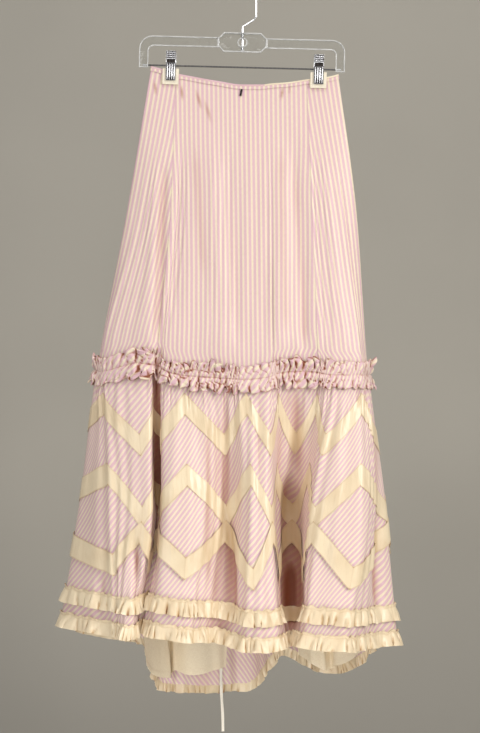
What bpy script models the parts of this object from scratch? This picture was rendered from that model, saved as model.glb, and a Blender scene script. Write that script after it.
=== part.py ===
"""Ruffle maxi skirt hanging flat from a clear clip hanger.

Metres, +Z up, the front towards -Y. The origin is the inside top of the hanger's hook, which holds it all.
Every cloth piece is a thin closed wall made on one grid: fold columns run down the skirt, and rows cross
them. A piece takes the grid's own points, moved out along the cloth's normal by its place in the layers.
"""

import math

import bmesh
import bpy
import numpy as np
from mathutils import Matrix, Vector

MM = 0.001

# Cloth layers, in millimetres out from the skirt's own surface
WALL = 1.2
SEAM_GAP = 0.3
WAIST_HALF_GAP = 0.7
OVERLAY_INNER = 1.8
BAND_WALL = 1.0
BAND_INNER = OVERLAY_INNER + WALL + 0.5
EDGE_BAND_INNER = BAND_INNER + BAND_WALL + 1.3
BINDING_INNER = WALL + SEAM_GAP
BINDING_HEIGHT = 8.0
RUCHE_INNER = OVERLAY_INNER + WALL + 0.7
LINING_INNER = -1.9
LINING_WALL = 1.2

# Heights, in millimetres below the hook for drops, and above the garment's lowest edge for rises
HIP_DROP = 400
MID_DROP = 900
GORE_ROWS = (0.0, 0.1, 0.3, 0.55, 0.8, 1.0)
FLOUNCE_HEM_RISE = 18
OVERLAY_TIP_RISE = 105
OVERLAY_LOWEST_TIP = 1062
LOWER_FRILL = {"top_rise": 28, "bottom_rise": 0}
UPPER_FRILL = {"top_rise": 73, "bottom_rise": 43}

# Zigzags of the pointed tier: drops of the bands' upper edges at their peaks and in their valleys
ZIGZAGS = (
    # name, peak_drop, valley_drop
    ("band_upper", 712, 782),
    ("band_middle", 832, 904),
)
BAND_DEPTH = 38
BAND_ROWS = ("band_upper_top", "band_upper_bottom", "band_middle_top", "band_middle_bottom")
OVERLAY_NOTCH_DROP = 967

# Gathers
RUCHE_WAVES = 34
FRILL_WAVES = 40
POINTS_PER_WAVE = 4
RUCHE_PROFILE = (
    # drop from the seam, stand-off, wave height
    (-22, 1.0, 4.5),
    (-11, 5.0, 4.0),
    (0, 0.0, 0.6),
    (11, 5.0, 4.0),
    (22, 1.0, 4.5),
)
FRILL_INNER = 1.9
FRILL_WALL = 1.0
FRILL_TOP_WAVE = 2.0
FRILL_HEM_WAVE = 11.0

# Folds, in millimetres: x at five levels, y at four and drops at three. Zigzags peak at 1 and turn up at 0
LONG_SPAN = 46
SHORT_SPAN = 24
FOLDS = (
    # name, x at waist, hip, knee, mid, hem, y at hip, knee, mid, hem, drop at waist, knee, hem, zigzag
    ("left_edge", -160, -203, -254, -283, -320, 0, 0, 0, 0, 145, 672, 1118, None),
    ("left_shoulder", -149, -180, -242, -226, -212, -12, -22, -68, -94, 148, 676, 1128, 1),
    ("left_ridge", -135, -156, -184, -172, -207, -16, -43, -88, -107, 152, 661, 1130, 0),
    ("slot_left_lip", -129, -146, -164, -158, -195, -17, -46, -92, -106, 154, 664, 1131, None),
    ("slot_left_wall", -124, -137, -157, -157, -187, -17, -43, -66, -92, 156, 664, 1125, 1),
    ("left_slot", -118, -127, -149, -148, -177, -17, -41, -46, -84, 158, 665, 1122, None),
    ("slot_right_wall", -112, -118, -141, -138, -166, -17, -43, -66, -92, 159, 668, 1124, 0),
    ("slot_right_lip", -106, -110, -134, -137, -156, -17, -47, -94, -110, 160, 675, 1125, None),
    ("inner_left_ridge", -90, -88, -102, -96, -108, -18, -50, -100, -124, 163, 683, 1132, 1),
    ("shallow_trough", -45, -42, -38, -30, -47, -18, -50, -56, -82, 171, 687, 1138, 0),
    ("middle_ridge", -3, 0, 3, 14, 18, -19, -54, -102, -128, 177, 690, 1150, 1),
    ("overlapping_edge", 31, 38, 43, 45, 58, -19, -53, -94, -112, 177, 685, 1148, 0),
    ("recess_left", 48, 56, 58, 52, 67, -18, -47, -38, -97, 175, 678, 1146, 1),
    ("deep_recess", 76, 88, 94, 84, 78, -17, -42, -14, -86, 173, 675, 1144, 0),
    ("right_seam", 109, 118, 127, 110, 89, -17, -42, -38, -96, 168, 677, 1142, 1),
    ("right_lip", 118, 131, 150, 122, 99, -16, -46, -92, -112, 167, 682, 1143, 0),
    ("right_ridge", 134, 162, 200, 196, 158, -15, -36, -98, -128, 165, 682, 1148, 1),
    ("right_trough", 149, 180, 210, 229, 226, -10, -18, -30, -46, 163, 682, 1150, None),
    ("right_edge", 163, 195, 215, 243, 267, 0, 0, 0, 0, 159, 681, 1151, 0),
    ("back_right_ridge", 149, 178, 196, 225, 252, 10, 28, 66, 84, 164, 682, 1158, 1),
    ("back_right_trough", 118, 143, 158, 191, 217, 15, 42, 30, 62, 168, 684, 1185, 0),
    ("back_right_swag", 76, 94, 109, 139, 155, 17, 50, 96, 138, 174, 686, 1222, 1),
    ("back_inner_trough", 31, 42, 53, 67, 68, 18, 48, 34, 72, 177, 688, 1180, 0),
    ("back_middle_ridge", -14, -7, 0, 7, 4, 18, 54, 100, 152, 177, 690, 1255, 1),
    ("back_middle", -56, -56, -56, -60, -68, 18, 50, 60, 122, 172, 688, 1255, 0),
    ("back_left_ridge", -94, -105, -116, -128, -144, 17, 50, 96, 142, 166, 682, 1254, 1),
    ("back_left_trough", -125, -150, -175, -197, -174, 14, 40, 28, 62, 159, 678, 1165, 0),
    ("back_left_shoulder", -146, -181, -227, -257, -269, 8, 26, 54, 88, 150, 676, 1148, None),
)
FOLD_NAMES = [fold[0] for fold in FOLDS]
PANELS = (
    # side, first fold, last fold
    ("left", "back_left_trough", "left_slot"),
    ("front", "left_slot", "right_seam"),
    ("right", "right_seam", "back_right_trough"),
    ("back", "back_right_trough", "back_left_trough"),
)

# Train: lining inside the back, and the tape that hangs from it
LININGS = (
    # side, first fold, last fold, bottom_rise
    ("right", "back_right_trough", "back_inner_trough", 24),
    ("left", "back_middle", "back_left_trough", 32),
)
TAPE_WIDTH = 5.0
TAPE_SPACING = 12.0
TAPE_ROUTE = (
    (-41, 118.8, -1206),
    (-41, 122.6, -1228),
    (-40, 125, -1255),
    (-38, 125.5, -1288),
    (-37.5, 125, -1320),
)

# Hanger, in millimetres
TILT = math.radians(1.45)
FRAME_HALF_WIDTH = 178.7
FRAME_TOP = -95.9
FRAME_BAR_BOTTOM = -113.2
FRAME_LEG_END = -151.2
FRAME_LEG_WIDTH = 16.0
FRAME_DEPTH = 6.0
OUTER_CORNER = 22.0
INNER_CORNER = 9.0
BOSS_HALF_WIDTH = 42.0
BOSS_TOP = -87.2
BOSS_BOTTOM = -120.7
BOSS_CHAMFER = 10.0
BOSS_DEPTH = 9.0
EYE_RADIUS = 7.0
EYE_CENTRE = -104.2
WIRE_RADIUS = 1.5
BORE_CLEARANCE = 0.3
HOOK_RADIUS = 21.0
HOOK_TIP_ANGLE = math.radians(205)
HOOK_ARCH_STEPS = 18
SHANK_BOTTOM = -120.2
SHANK_TOP = -81.0
SLANT = ((-77, 0.0), (-64.5, 0.85), (-59, 1.0), (-40, 1.0))
BORE_OVERSHOOT = 5.0
COARSE_SIDES = 12
BAR_SIDES = 16
EYE_SIDES = 24
ROD_HALF_LENGTH = 172.0
ROD_DROP = -147.1
CLIP_PLACES = {"left": -123.1, "right": 133.6}
CLIP_WIDTH = 17.0
JAW_PROFILE = ((-13.2, 24.0), (-9.2, 10.0), (-7.4, 5.0), (-7.4, -26.6))
JAW_WALL = 1.1
EAR_HEIGHT = 9.0
EAR_WALL = 0.9
EAR_REACH = 3.6
EAR_INSETS = {-1: 0.2, 1: 1.5}
SPRING_RADIUS = 3.4
PAD_WIDTH = 28.0
PAD_TOP = -5.5
PAD_BOTTOM = -33.0
PAD_INNER = 3.6
PAD_OUTER = 6.0
WAIST_HOOK = {"x": -5, "drop": 191, "width": 3.4, "height": 12.0, "wall": 1.2, "turn": math.radians(12)}
WAIST_HOOK_GAP = 0.5

COLOURS = {
    # name: base colour, roughness, metallic
    "striped_silk": ((0.86, 0.66, 0.62), 0.5, 0.0),
    "cream_satin": ((0.86, 0.76, 0.60), 0.35, 0.0),
    "cotton_lining": ((0.74, 0.62, 0.46), 0.8, 0.0),
    "cotton_tape": ((0.72, 0.66, 0.55), 0.8, 0.0),
    "clear_plastic": ((0.85, 0.87, 0.86), 0.1, 0.0),
    "chrome": ((0.75, 0.77, 0.80), 0.15, 1.0),
    "cream_card": ((0.86, 0.81, 0.68), 0.6, 0.0),
    "dark_metal": ((0.06, 0.05, 0.05), 0.4, 1.0),
}


def clear_scene():
    for obj in list(bpy.data.objects):
        bpy.data.objects.remove(obj)


def material(name):
    found = bpy.data.materials.get(name)
    if found:
        return found
    colour, roughness, metallic = COLOURS[name]
    made = bpy.data.materials.new(name)
    made.use_nodes = True
    shader = made.node_tree.nodes["Principled BSDF"]
    shader.inputs["Base Color"].default_value = (*colour, 1.0)
    shader.inputs["Roughness"].default_value = roughness
    shader.inputs["Metallic"].default_value = metallic
    if name == "clear_plastic":
        shader.inputs["Transmission Weight"].default_value = 0.9
    return made


def add_object(name, mesh, finish):
    obj = bpy.data.objects.new(name, mesh)
    bpy.context.scene.collection.objects.link(obj)
    obj.data.materials.append(material(finish))
    return obj


# The skirt's surface


def level_points():
    """The fold columns' points at the five levels: an array of level, fold, (x, y, drop)."""
    points = np.zeros((5, len(FOLDS), 3))
    for i, fold in enumerate(FOLDS):
        xs, ys, drops = fold[1:6], fold[6:10], fold[10:13]
        side = np.sign(ys[0])
        points[:, i, 0] = xs
        points[:, i, 1] = (side * WAIST_HALF_GAP, *ys)
        points[:, i, 2] = (drops[0], HIP_DROP, drops[1], MID_DROP, drops[2])
    return points


def gentle_slopes(steps):
    """Slopes between equal steps that never make a curve swing past its points."""
    before, after = steps[:-1], steps[1:]
    same_way = before * after > 0
    total = np.where(same_way, before + after, 1.0)
    return np.where(same_way, 2 * before * after / total, 0.0)


def hermite(start, end, start_slope, end_slope, t):
    bend = 3 * t**2 - 2 * t**3
    return start * (1 - bend) + end * bend + start_slope * (t**3 - 2 * t**2 + t) + end_slope * (t**3 - t**2)


LEVELS = level_points()
STEPS_AROUND = np.diff(np.concatenate([LEVELS[:, -1:], LEVELS, LEVELS[:, :1]], axis=1), axis=1)
AROUND = gentle_slopes(STEPS_AROUND.swapaxes(0, 1)).swapaxes(0, 1)


def surface(fold, level):
    """The point (x, y, z) at a place round the skirt, in folds, and a level from 0, waist, to 4, hem."""
    count = len(FOLDS)
    i = int(math.floor(fold)) % count
    after = (i + 1) % count
    t = fold - math.floor(fold)
    here = hermite(LEVELS[:, i], LEVELS[:, after], AROUND[:, i], AROUND[:, after], t)
    steps = np.diff(here, axis=0)
    slopes = np.concatenate([steps[:1], gentle_slopes(steps), steps[-1:]])
    slopes[0, 1] = 0
    j = min(int(level), 3)
    x, y, drop = hermite(here[j], here[j + 1], slopes[j], slopes[j + 1], level - j)
    return np.array([x, y, -drop])


def normal(fold, level, step=0.03):
    low, high = max(level - step, 0), min(level + step, 4)
    down = surface(fold, high) - surface(fold, low)
    across = surface(fold + step, level) - surface(fold - step, level)
    out = np.cross(down, across)
    return out / np.linalg.norm(out)


LEVEL_STEPS = np.linspace(0, 4, 81)


def level_at(fold, drop):
    drops = [-surface(fold, level)[2] for level in LEVEL_STEPS]
    return float(np.interp(drop, drops, LEVEL_STEPS))


# The grid that every cloth piece is made on


def lengths_round(level):
    """Places round the skirt, in folds, and the cloth's length up to each."""
    folds = np.arange(0, len(FOLDS) + 0.001, 0.05)
    points = np.array([surface(fold, level) for fold in folds])
    steps = np.linalg.norm(np.diff(points, axis=0), axis=1)
    return folds, np.concatenate([[0], np.cumsum(steps)])


MID_FOLDS, MID_LENGTHS = lengths_round(3)
ZIGZAG_FOLDS = [i for i, fold in enumerate(FOLDS) if fold[13] is not None]
ZIGZAG_LENGTHS = np.interp(ZIGZAG_FOLDS, MID_FOLDS, MID_LENGTHS)
ZIGZAG_SHARES = [FOLDS[i][13] for i in ZIGZAG_FOLDS]


def peak_share(fold):
    """1 at a peak of the zigzags and 0 in a valley, and even along the cloth between them."""
    length = float(np.interp(fold, MID_FOLDS, MID_LENGTHS))
    return float(np.interp(length, ZIGZAG_LENGTHS, ZIGZAG_SHARES, period=MID_LENGTHS[-1]))


def grid_folds():
    """Columns at every fold, and one or two more between folds that lie far apart."""
    folds = []
    for i in range(len(FOLDS)):
        span = np.interp(i + 1, MID_FOLDS, MID_LENGTHS) - np.interp(i, MID_FOLDS, MID_LENGTHS)
        parts = 1 + (span > SHORT_SPAN) + (span > LONG_SPAN)
        folds += [i + k / parts for k in range(parts)]
    return folds


def rows_of(fold):
    """The drops of a column's rows, by name."""
    waist, knee, hem = (-surface(fold, level)[2] for level in (0, 2, 4))
    peak = peak_share(fold)
    rows = {f"gore_{k}": waist + share * (knee - SEAM_GAP / 2 - waist) for k, share in enumerate(GORE_ROWS)}
    rows["seam"] = knee + SEAM_GAP / 2
    for name, peak_drop, valley_drop in ZIGZAGS:
        top = valley_drop + peak * (peak_drop - valley_drop)
        rows[f"{name}_top"], rows[f"{name}_bottom"] = top, top + BAND_DEPTH
    tip = min(hem - OVERLAY_TIP_RISE, OVERLAY_LOWEST_TIP)
    overlay_hem = OVERLAY_NOTCH_DROP + peak * (tip - OVERLAY_NOTCH_DROP)
    rows["between"] = (rows["band_middle_bottom"] + overlay_hem) / 2
    rows["overlay_hem"] = overlay_hem
    rows["frill_top"] = hem - UPPER_FRILL["top_rise"]
    rows["flounce_hem"] = hem - FLOUNCE_HEM_RISE
    rows["hem"] = hem
    return rows


class Column:
    """A line down the skirt: its rows' drops, points and normals."""

    def __init__(self, fold):
        self.rows = rows_of(fold)
        self.drops = np.array(list(self.rows.values()))
        levels = [level_at(fold, drop) for drop in self.drops]
        self.points = np.array([surface(fold, level) for level in levels])
        self.normals = np.array([normal(fold, level) for level in levels])
        self.knee = -surface(fold, 2)[2]

    def at(self, drop, out):
        """The point on the column's facets at a drop, moved out."""
        moved = self.points + self.normals * out
        return np.array([np.interp(drop, self.drops, moved[:, axis]) for axis in range(3)])


GRID_FOLDS = grid_folds()
GRID = [Column(fold) for fold in GRID_FOLDS]


def column_index(fold_name):
    place = FOLD_NAMES.index(fold_name)
    return min(range(len(GRID)), key=lambda j: abs(GRID_FOLDS[j] - place))


def between_columns(place, value):
    """A value between two columns: value takes a column."""
    j = int(math.floor(place))
    share = place - j
    return (1 - share) * value(GRID[j % len(GRID)]) + share * value(GRID[(j + 1) % len(GRID)])


def point_between(place, drop, out):
    return between_columns(place, lambda column: column.at(drop, out))


# Cloth pieces


def cloth_wall(name, outer, inner, finish, ring):
    """A closed wall between two lists of columns of points, in millimetres."""
    mesh = bmesh.new()
    sides = [[[mesh.verts.new(Vector(p) * MM) for p in column] for column in side] for side in (outer, inner)]
    count = len(outer)
    rows = len(outer[0])
    for i in range(count if ring else count - 1):
        out_a, out_b = sides[0][i], sides[0][(i + 1) % count]
        in_a, in_b = sides[1][i], sides[1][(i + 1) % count]
        for k in range(rows - 1):
            mesh.faces.new((out_a[k], out_a[k + 1], out_b[k + 1], out_b[k]))
            mesh.faces.new((in_a[k], in_b[k], in_b[k + 1], in_a[k + 1]))
        mesh.faces.new((out_a[0], out_b[0], in_b[0], in_a[0]))
        mesh.faces.new((out_a[-1], in_a[-1], in_b[-1], out_b[-1]))
    if not ring:
        first_out, first_in, last_out, last_in = sides[0][0], sides[1][0], sides[0][-1], sides[1][-1]
        for k in range(rows - 1):
            mesh.faces.new((first_out[k + 1], first_out[k], first_in[k + 1]))
            mesh.faces.new((first_out[k], first_in[k], first_in[k + 1]))
            mesh.faces.new((last_out[k], last_out[k + 1], last_in[k + 1]))
            mesh.faces.new((last_out[k], last_in[k + 1], last_in[k]))
    data = bpy.data.meshes.new(name)
    mesh.to_mesh(data)
    mesh.free()
    data.shade_smooth()
    data.set_sharp_from_angle(angle=math.radians(50))
    return add_object(name, data, finish)


def side_gap(points, toward):
    """The points of a panel's edge column, drawn back square to the seam by half its gap."""
    along = np.gradient(points, axis=0)
    along /= np.linalg.norm(along, axis=1, keepdims=True)
    back = toward - points
    back -= along * np.sum(back * along, axis=1, keepdims=True)
    return points + back * (SEAM_GAP / 2) / np.linalg.norm(back, axis=1, keepdims=True)


def strip(name, columns, drops_of, inner, wall, finish, ring=True):
    """A wall on the grid's own columns, from rows that drops_of gives for each column."""
    faces = []
    for out in (inner + wall, inner):
        side = [np.array([column.at(drop, out) for drop in drops_of(column)]) for column in columns]
        if not ring:
            first, last = side_gap(side[0], side[1]), side_gap(side[-1], side[-2])
            side[0], side[-1] = first, last
        faces.append(side)
    return cloth_wall(name, faces[0], faces[1], finish, ring)


def row_drops(*names):
    return lambda column: [column.rows[name] for name in names]


def panel_columns(first, last):
    start, end = column_index(first), column_index(last)
    if end <= start:
        end += len(GRID)
    return [GRID[j % len(GRID)] for j in range(start, end + 1)]


def make_gores():
    """The close-fitting upper skirt, in four gores."""
    rows = row_drops(*(f"gore_{k}" for k in range(len(GORE_ROWS))))
    for side, first, last in PANELS:
        strip(f"gore_{side}", panel_columns(first, last), rows, 0, WALL, "striped_silk", ring=False)


def make_flounce():
    """The gathered under-flounce that falls in folds to the hem, in four panels."""
    rows = row_drops("seam", *BAND_ROWS, "between", "overlay_hem", "frill_top", "flounce_hem")
    for side, first, last in PANELS:
        strip(f"flounce_{side}", panel_columns(first, last), rows, 0, WALL, "striped_silk", ring=False)


def make_overlay():
    """The pointed tier over the flounce."""
    rows = row_drops("seam", *BAND_ROWS, "between", "overlay_hem")
    strip("overlay", GRID, rows, OVERLAY_INNER, WALL, "striped_silk")


def make_bands():
    """Satin bands in zigzags on the pointed tier. The one on its edge lies over the one above it."""
    for name in ("band_upper", "band_middle"):
        strip(name, GRID, row_drops(f"{name}_top", f"{name}_bottom"), BAND_INNER, BAND_WALL, "cream_satin")

    def edge_rows(column):
        return column.rows["overlay_hem"] - BAND_DEPTH, column.rows["overlay_hem"]

    strip("band_edge", GRID, edge_rows, EDGE_BAND_INNER, BAND_WALL, "cream_satin")


def make_binding():
    """The narrow facing round the waist's top edge."""

    def binding_rows(column):
        return column.rows["gore_0"], column.rows["gore_0"] + BINDING_HEIGHT

    strip("waist_binding", GRID, binding_rows, BINDING_INNER, BAND_WALL, "striped_silk")


def even_places(count, row):
    """Places at even lengths of cloth along a row, with the nearest moved onto each of the grid's columns."""
    points = np.array([column.at(column.rows[row], 0) for column in [*GRID, GRID[0]]])
    lengths = np.concatenate([[0], np.cumsum(np.linalg.norm(np.diff(points, axis=0), axis=1))])
    places = np.interp(np.arange(count) / count * lengths[-1], lengths, np.arange(len(GRID) + 1))
    for j in range(len(GRID)):
        places[np.abs(places - j).argmin()] = j
    return places


def gathered_ring(name, row, waves, points_at, wall, finish):
    """A ruffle round the skirt. points_at gives the drop and stand-off of each row at a place and a wave."""
    count = waves * POINTS_PER_WAVE
    faces = ([], [])
    for i, place in enumerate(even_places(count, row)):
        wave = (1 + math.cos(2 * math.pi * i / POINTS_PER_WAVE)) / 2
        profile = points_at(place, wave)
        for side, extra in zip(faces, (wall, 0)):
            side.append([point_between(place, drop, out + extra) for drop, out in profile])
    return cloth_wall(name, faces[0], faces[1], finish, ring=True)


def make_ruche():
    """The puffed heading over the seam, gathered along its centre line."""

    def profile(place, wave):
        knee = between_columns(place, lambda column: column.knee)
        return [(knee + rise, RUCHE_INNER + stand + height * wave) for rise, stand, height in RUCHE_PROFILE]

    gathered_ring("ruche", "seam", RUCHE_WAVES, profile, WALL, "striped_silk")


def make_frill(name, frill):
    """A gathered satin frill near the hem."""

    def profile(place, wave):
        hem = between_columns(place, lambda column: column.rows["hem"])
        top = (hem - frill["top_rise"], FRILL_INNER + FRILL_TOP_WAVE * wave)
        bottom = (hem - frill["bottom_rise"], FRILL_INNER + FRILL_HEM_WAVE * wave)
        return [top, bottom]

    gathered_ring(name, "hem", FRILL_WAVES, profile, FRILL_WALL, "cream_satin")


def make_train_lining():
    """Cotton lining inside the train, where the long back hem lets it show."""
    for side, first, last, bottom_rise in LININGS:

        def drops(column, bottom_rise=bottom_rise):
            rows = column.rows
            return (rows["between"], rows["overlay_hem"], rows["frill_top"], rows["hem"] - bottom_rise)

        columns = panel_columns(first, last)[2:-2]
        strip(f"train_lining_{side}", columns, drops, LINING_INNER, LINING_WALL, "cotton_lining", ring=False)


def smooth_route(route, spacing):
    """Points at an even spacing along a smooth curve through the route's own points."""
    points = np.array(route, float)
    padded = np.concatenate([2 * points[:1] - points[1:2], points, 2 * points[-1:] - points[-2:-1]])
    fine = []
    for a, b, c, d in zip(padded, padded[1:], padded[2:], padded[3:]):
        for t in np.linspace(0, 1, 20, endpoint=False):
            fine.append(hermite(b, c, (c - a) / 2, (d - b) / 2, t))
    fine = np.array([*fine, points[-1]])
    lengths = np.concatenate([[0], np.cumsum(np.linalg.norm(np.diff(fine, axis=0), axis=1))])
    places = np.linspace(0, lengths[-1], max(2, round(lengths[-1] / spacing)) + 1)
    return np.stack([np.interp(places, lengths, fine[:, axis]) for axis in range(3)], axis=1)


def tube(name, points, radius, finish, sides=2):
    """A round wire or cord along a line of points, in millimetres."""
    curve = bpy.data.curves.new(name, "CURVE")
    curve.dimensions = "3D"
    curve.bevel_depth = radius * MM
    curve.bevel_resolution = sides
    curve.use_fill_caps = True
    spline = curve.splines.new("POLY")
    spline.points.add(len(points) - 1)
    for point, place in zip(spline.points, points):
        point.co = (*(Vector(place) * MM), 1)
    return add_object(name, curve, finish)


def make_tape():
    """The narrow tape that hangs from inside the train."""
    tube("train_tape", smooth_route(TAPE_ROUTE, TAPE_SPACING), TAPE_WIDTH / 2, "cotton_tape")


# Hanger


def extruded(name, outline, depth, finish):
    """A plate in the XZ plane, of an outline in millimetres, as thick as depth about y = 0."""
    mesh = bmesh.new()
    front = [mesh.verts.new((x * MM, -depth / 2 * MM, z * MM)) for x, z in outline]
    face = mesh.faces.new(front)
    made = bmesh.ops.extrude_face_region(mesh, geom=[face])
    moved = [item for item in made["geom"] if isinstance(item, bmesh.types.BMVert)]
    bmesh.ops.translate(mesh, vec=(0, depth * MM, 0), verts=moved)
    bmesh.ops.recalc_face_normals(mesh, faces=mesh.faces)
    data = bpy.data.meshes.new(name)
    mesh.to_mesh(data)
    mesh.free()
    return add_object(name, data, finish)


def box(name, low, high, finish):
    outline = ((low[0], low[2]), (high[0], low[2]), (high[0], high[2]), (low[0], high[2]))
    obj = extruded(name, outline, high[1] - low[1], finish)
    obj.data.transform(Matrix.Translation((0, (low[1] + high[1]) / 2 * MM, 0)))
    return obj


def round_bar(name, start, end, radius, finish, sides=BAR_SIDES):
    """A straight cylinder between two points, in millimetres."""
    start, end = Vector(start) * MM, Vector(end) * MM
    mesh = bmesh.new()
    bmesh.ops.create_cone(mesh, cap_ends=True, segments=sides, radius1=radius * MM, radius2=radius * MM,
                          depth=(end - start).length)
    turn = (end - start).to_track_quat("Z", "Y").to_matrix().to_4x4()
    bmesh.ops.transform(mesh, matrix=Matrix.Translation((start + end) / 2) @ turn, verts=mesh.verts)
    data = bpy.data.meshes.new(name)
    mesh.to_mesh(data)
    mesh.free()
    return add_object(name, data, finish)


def boolean(obj, other, operation):
    """Joins or cuts with a helper that the model leaves out."""
    change = obj.modifiers.new(other.name, "BOOLEAN")
    change.operation = operation
    change.object = other
    other.hide_render = True
    other.display_type = "WIRE"


def corner(centre, radius, start_degrees, end_degrees, steps=5):
    angles = np.radians(np.linspace(start_degrees, end_degrees, steps + 1))
    return [(centre[0] + radius * math.cos(a), centre[1] + radius * math.sin(a)) for a in angles]


def frame_outline():
    """The bar with a leg down at each end, anticlockwise from the left leg's foot."""
    inner = FRAME_HALF_WIDTH - FRAME_LEG_WIDTH
    right = [(inner, FRAME_LEG_END), (FRAME_HALF_WIDTH, FRAME_LEG_END)]
    right += corner((FRAME_HALF_WIDTH - OUTER_CORNER, FRAME_TOP - OUTER_CORNER), OUTER_CORNER, 0, 90)
    left = [(-x, z) for x, z in reversed(right)]
    under = corner((-inner + INNER_CORNER, FRAME_BAR_BOTTOM - INNER_CORNER), INNER_CORNER, 180, 90)
    under += [(-x, z) for x, z in reversed(under)]
    return right + left + under


def boss_outline():
    """The long octagon round the hook's socket, clockwise from its left point."""
    middle = (BOSS_TOP + BOSS_BOTTOM) / 2
    side = (BOSS_TOP - BOSS_BOTTOM) / 2 - BOSS_CHAMFER
    half = [(-BOSS_HALF_WIDTH, middle - side), (-BOSS_HALF_WIDTH, middle + side),
            (-BOSS_HALF_WIDTH + BOSS_CHAMFER, BOSS_TOP)]
    other = [(-x, z) for x, z in reversed(half)]
    foot = BOSS_HALF_WIDTH - BOSS_CHAMFER
    return [*half, *other, (foot, BOSS_BOTTOM), (-foot, BOSS_BOTTOM)]


def make_frame(tilt):
    """The clear plastic frame, with an eye and a bore for the hook, and bores for the rod."""
    frame = extruded("hanger_frame", frame_outline(), FRAME_DEPTH, "clear_plastic")
    boss = extruded("boss_helper", boss_outline(), BOSS_DEPTH, "clear_plastic")
    bore = WIRE_RADIUS + BORE_CLEARANCE
    front, back = (0, -BOSS_DEPTH, EYE_CENTRE), (0, BOSS_DEPTH, EYE_CENTRE)
    eye = round_bar("eye_cutter", front, back, EYE_RADIUS, "chrome", EYE_SIDES)
    reach = ROD_HALF_LENGTH + BORE_CLEARANCE
    rod_bore = round_bar("rod_cutter", (-reach, 0, ROD_DROP), (reach, 0, ROD_DROP), bore, "chrome")
    low, high = (0, 0, BOSS_BOTTOM - BORE_OVERSHOOT), (0, 0, BOSS_TOP + BORE_OVERSHOOT)
    hook_bore = round_bar("hook_cutter", low, high, bore, "chrome")
    for piece in (frame, boss, eye, rod_bore):
        piece.data.transform(tilt)
    eye_x = tilt @ Vector((0, 0, EYE_CENTRE * MM))
    hook_bore.location.x = eye_x.x
    boolean(frame, boss, "UNION")
    boolean(frame, eye, "DIFFERENCE")
    boolean(frame, rod_bore, "DIFFERENCE")
    boolean(frame, hook_bore, "DIFFERENCE")
    return eye_x.x / MM


def make_hook(shank_x):
    """The wire hook: a shank through the frame's eye, a slant, and an arch whose inside top is the origin."""
    centre = WIRE_RADIUS - HOOK_RADIUS
    shank = [(shank_x, 0, SHANK_BOTTOM), (shank_x, 0, SHANK_TOP)]
    slant = [(shank_x + share * (HOOK_RADIUS - shank_x), 0, z) for z, share in SLANT]
    arch = []
    for angle in np.linspace(0, HOOK_TIP_ANGLE, HOOK_ARCH_STEPS + 1):
        arch.append((HOOK_RADIUS * math.cos(angle), 0, centre + HOOK_RADIUS * math.sin(angle)))
    tube("hanger_hook", shank + slant + arch, WIRE_RADIUS, "chrome")


def make_rod(tilt):
    start, end = (-ROD_HALF_LENGTH, 0, ROD_DROP), (ROD_HALF_LENGTH, 0, ROD_DROP)
    rod = round_bar("hanger_rod", start, end, WIRE_RADIUS, "chrome", COARSE_SIDES)
    rod.data.transform(tilt)


def make_jaw(name, middle, side, tilt):
    """One bent plate of a clip, with an ear on each side that the rod passes through."""
    half = CLIP_WIDTH / 2
    inset = EAR_INSETS[side]
    outer = [(y - JAW_WALL, z) for y, z in JAW_PROFILE]
    profile = [*JAW_PROFILE, *reversed(outer)]
    mesh = bmesh.new()
    points = [(middle - half, -side * y, ROD_DROP + z) for y, z in profile]
    face = mesh.faces.new([mesh.verts.new(Vector(p) * MM) for p in points])
    made = bmesh.ops.extrude_face_region(mesh, geom=[face])
    moved = [item for item in made["geom"] if isinstance(item, bmesh.types.BMVert)]
    bmesh.ops.translate(mesh, vec=(CLIP_WIDTH * MM, 0, 0), verts=moved)
    bmesh.ops.recalc_face_normals(mesh, faces=mesh.faces)
    data = bpy.data.meshes.new(name)
    mesh.to_mesh(data)
    mesh.free()
    jaw = add_object(name, data, "chrome")
    plate = -JAW_PROFILE[2][0]
    helpers = []
    for ear_side in (-1, 1):
        near = middle + ear_side * (half - inset)
        far = near - ear_side * EAR_WALL
        ys = sorted((side * (plate + JAW_WALL / 2), -side * EAR_REACH))
        low = (min(near, far), ys[0], ROD_DROP - EAR_HEIGHT / 2)
        high = (max(near, far), ys[1], ROD_DROP + EAR_HEIGHT / 2)
        helpers.append((box(f"{name}_ear", low, high, "chrome"), "UNION"))
    start, end = (middle - CLIP_WIDTH, 0, ROD_DROP), (middle + CLIP_WIDTH, 0, ROD_DROP)
    bore = round_bar(f"{name}_bore", start, end, WIRE_RADIUS + BORE_CLEARANCE, "chrome", COARSE_SIDES)
    helpers.append((bore, "DIFFERENCE"))
    jaw.data.transform(tilt)
    for helper, operation in helpers:
        helper.data.transform(tilt)
        boolean(jaw, helper, operation)


def make_spring(name, middle, tilt):
    """The spring's coil round the rod, between the inner ears."""
    half = CLIP_WIDTH / 2 - EAR_INSETS[1] - EAR_WALL - SEAM_GAP
    start, end = (middle - half, 0, ROD_DROP), (middle + half, 0, ROD_DROP)
    coil = round_bar(name, start, end, SPRING_RADIUS, "chrome", COARSE_SIDES)
    start, end = (middle - CLIP_WIDTH, 0, ROD_DROP), (middle + CLIP_WIDTH, 0, ROD_DROP)
    bore = round_bar(f"{name}_bore", start, end, WIRE_RADIUS + BORE_CLEARANCE, "chrome", COARSE_SIDES)
    coil.data.transform(tilt)
    bore.data.transform(tilt)
    boolean(coil, bore, "DIFFERENCE")


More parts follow.
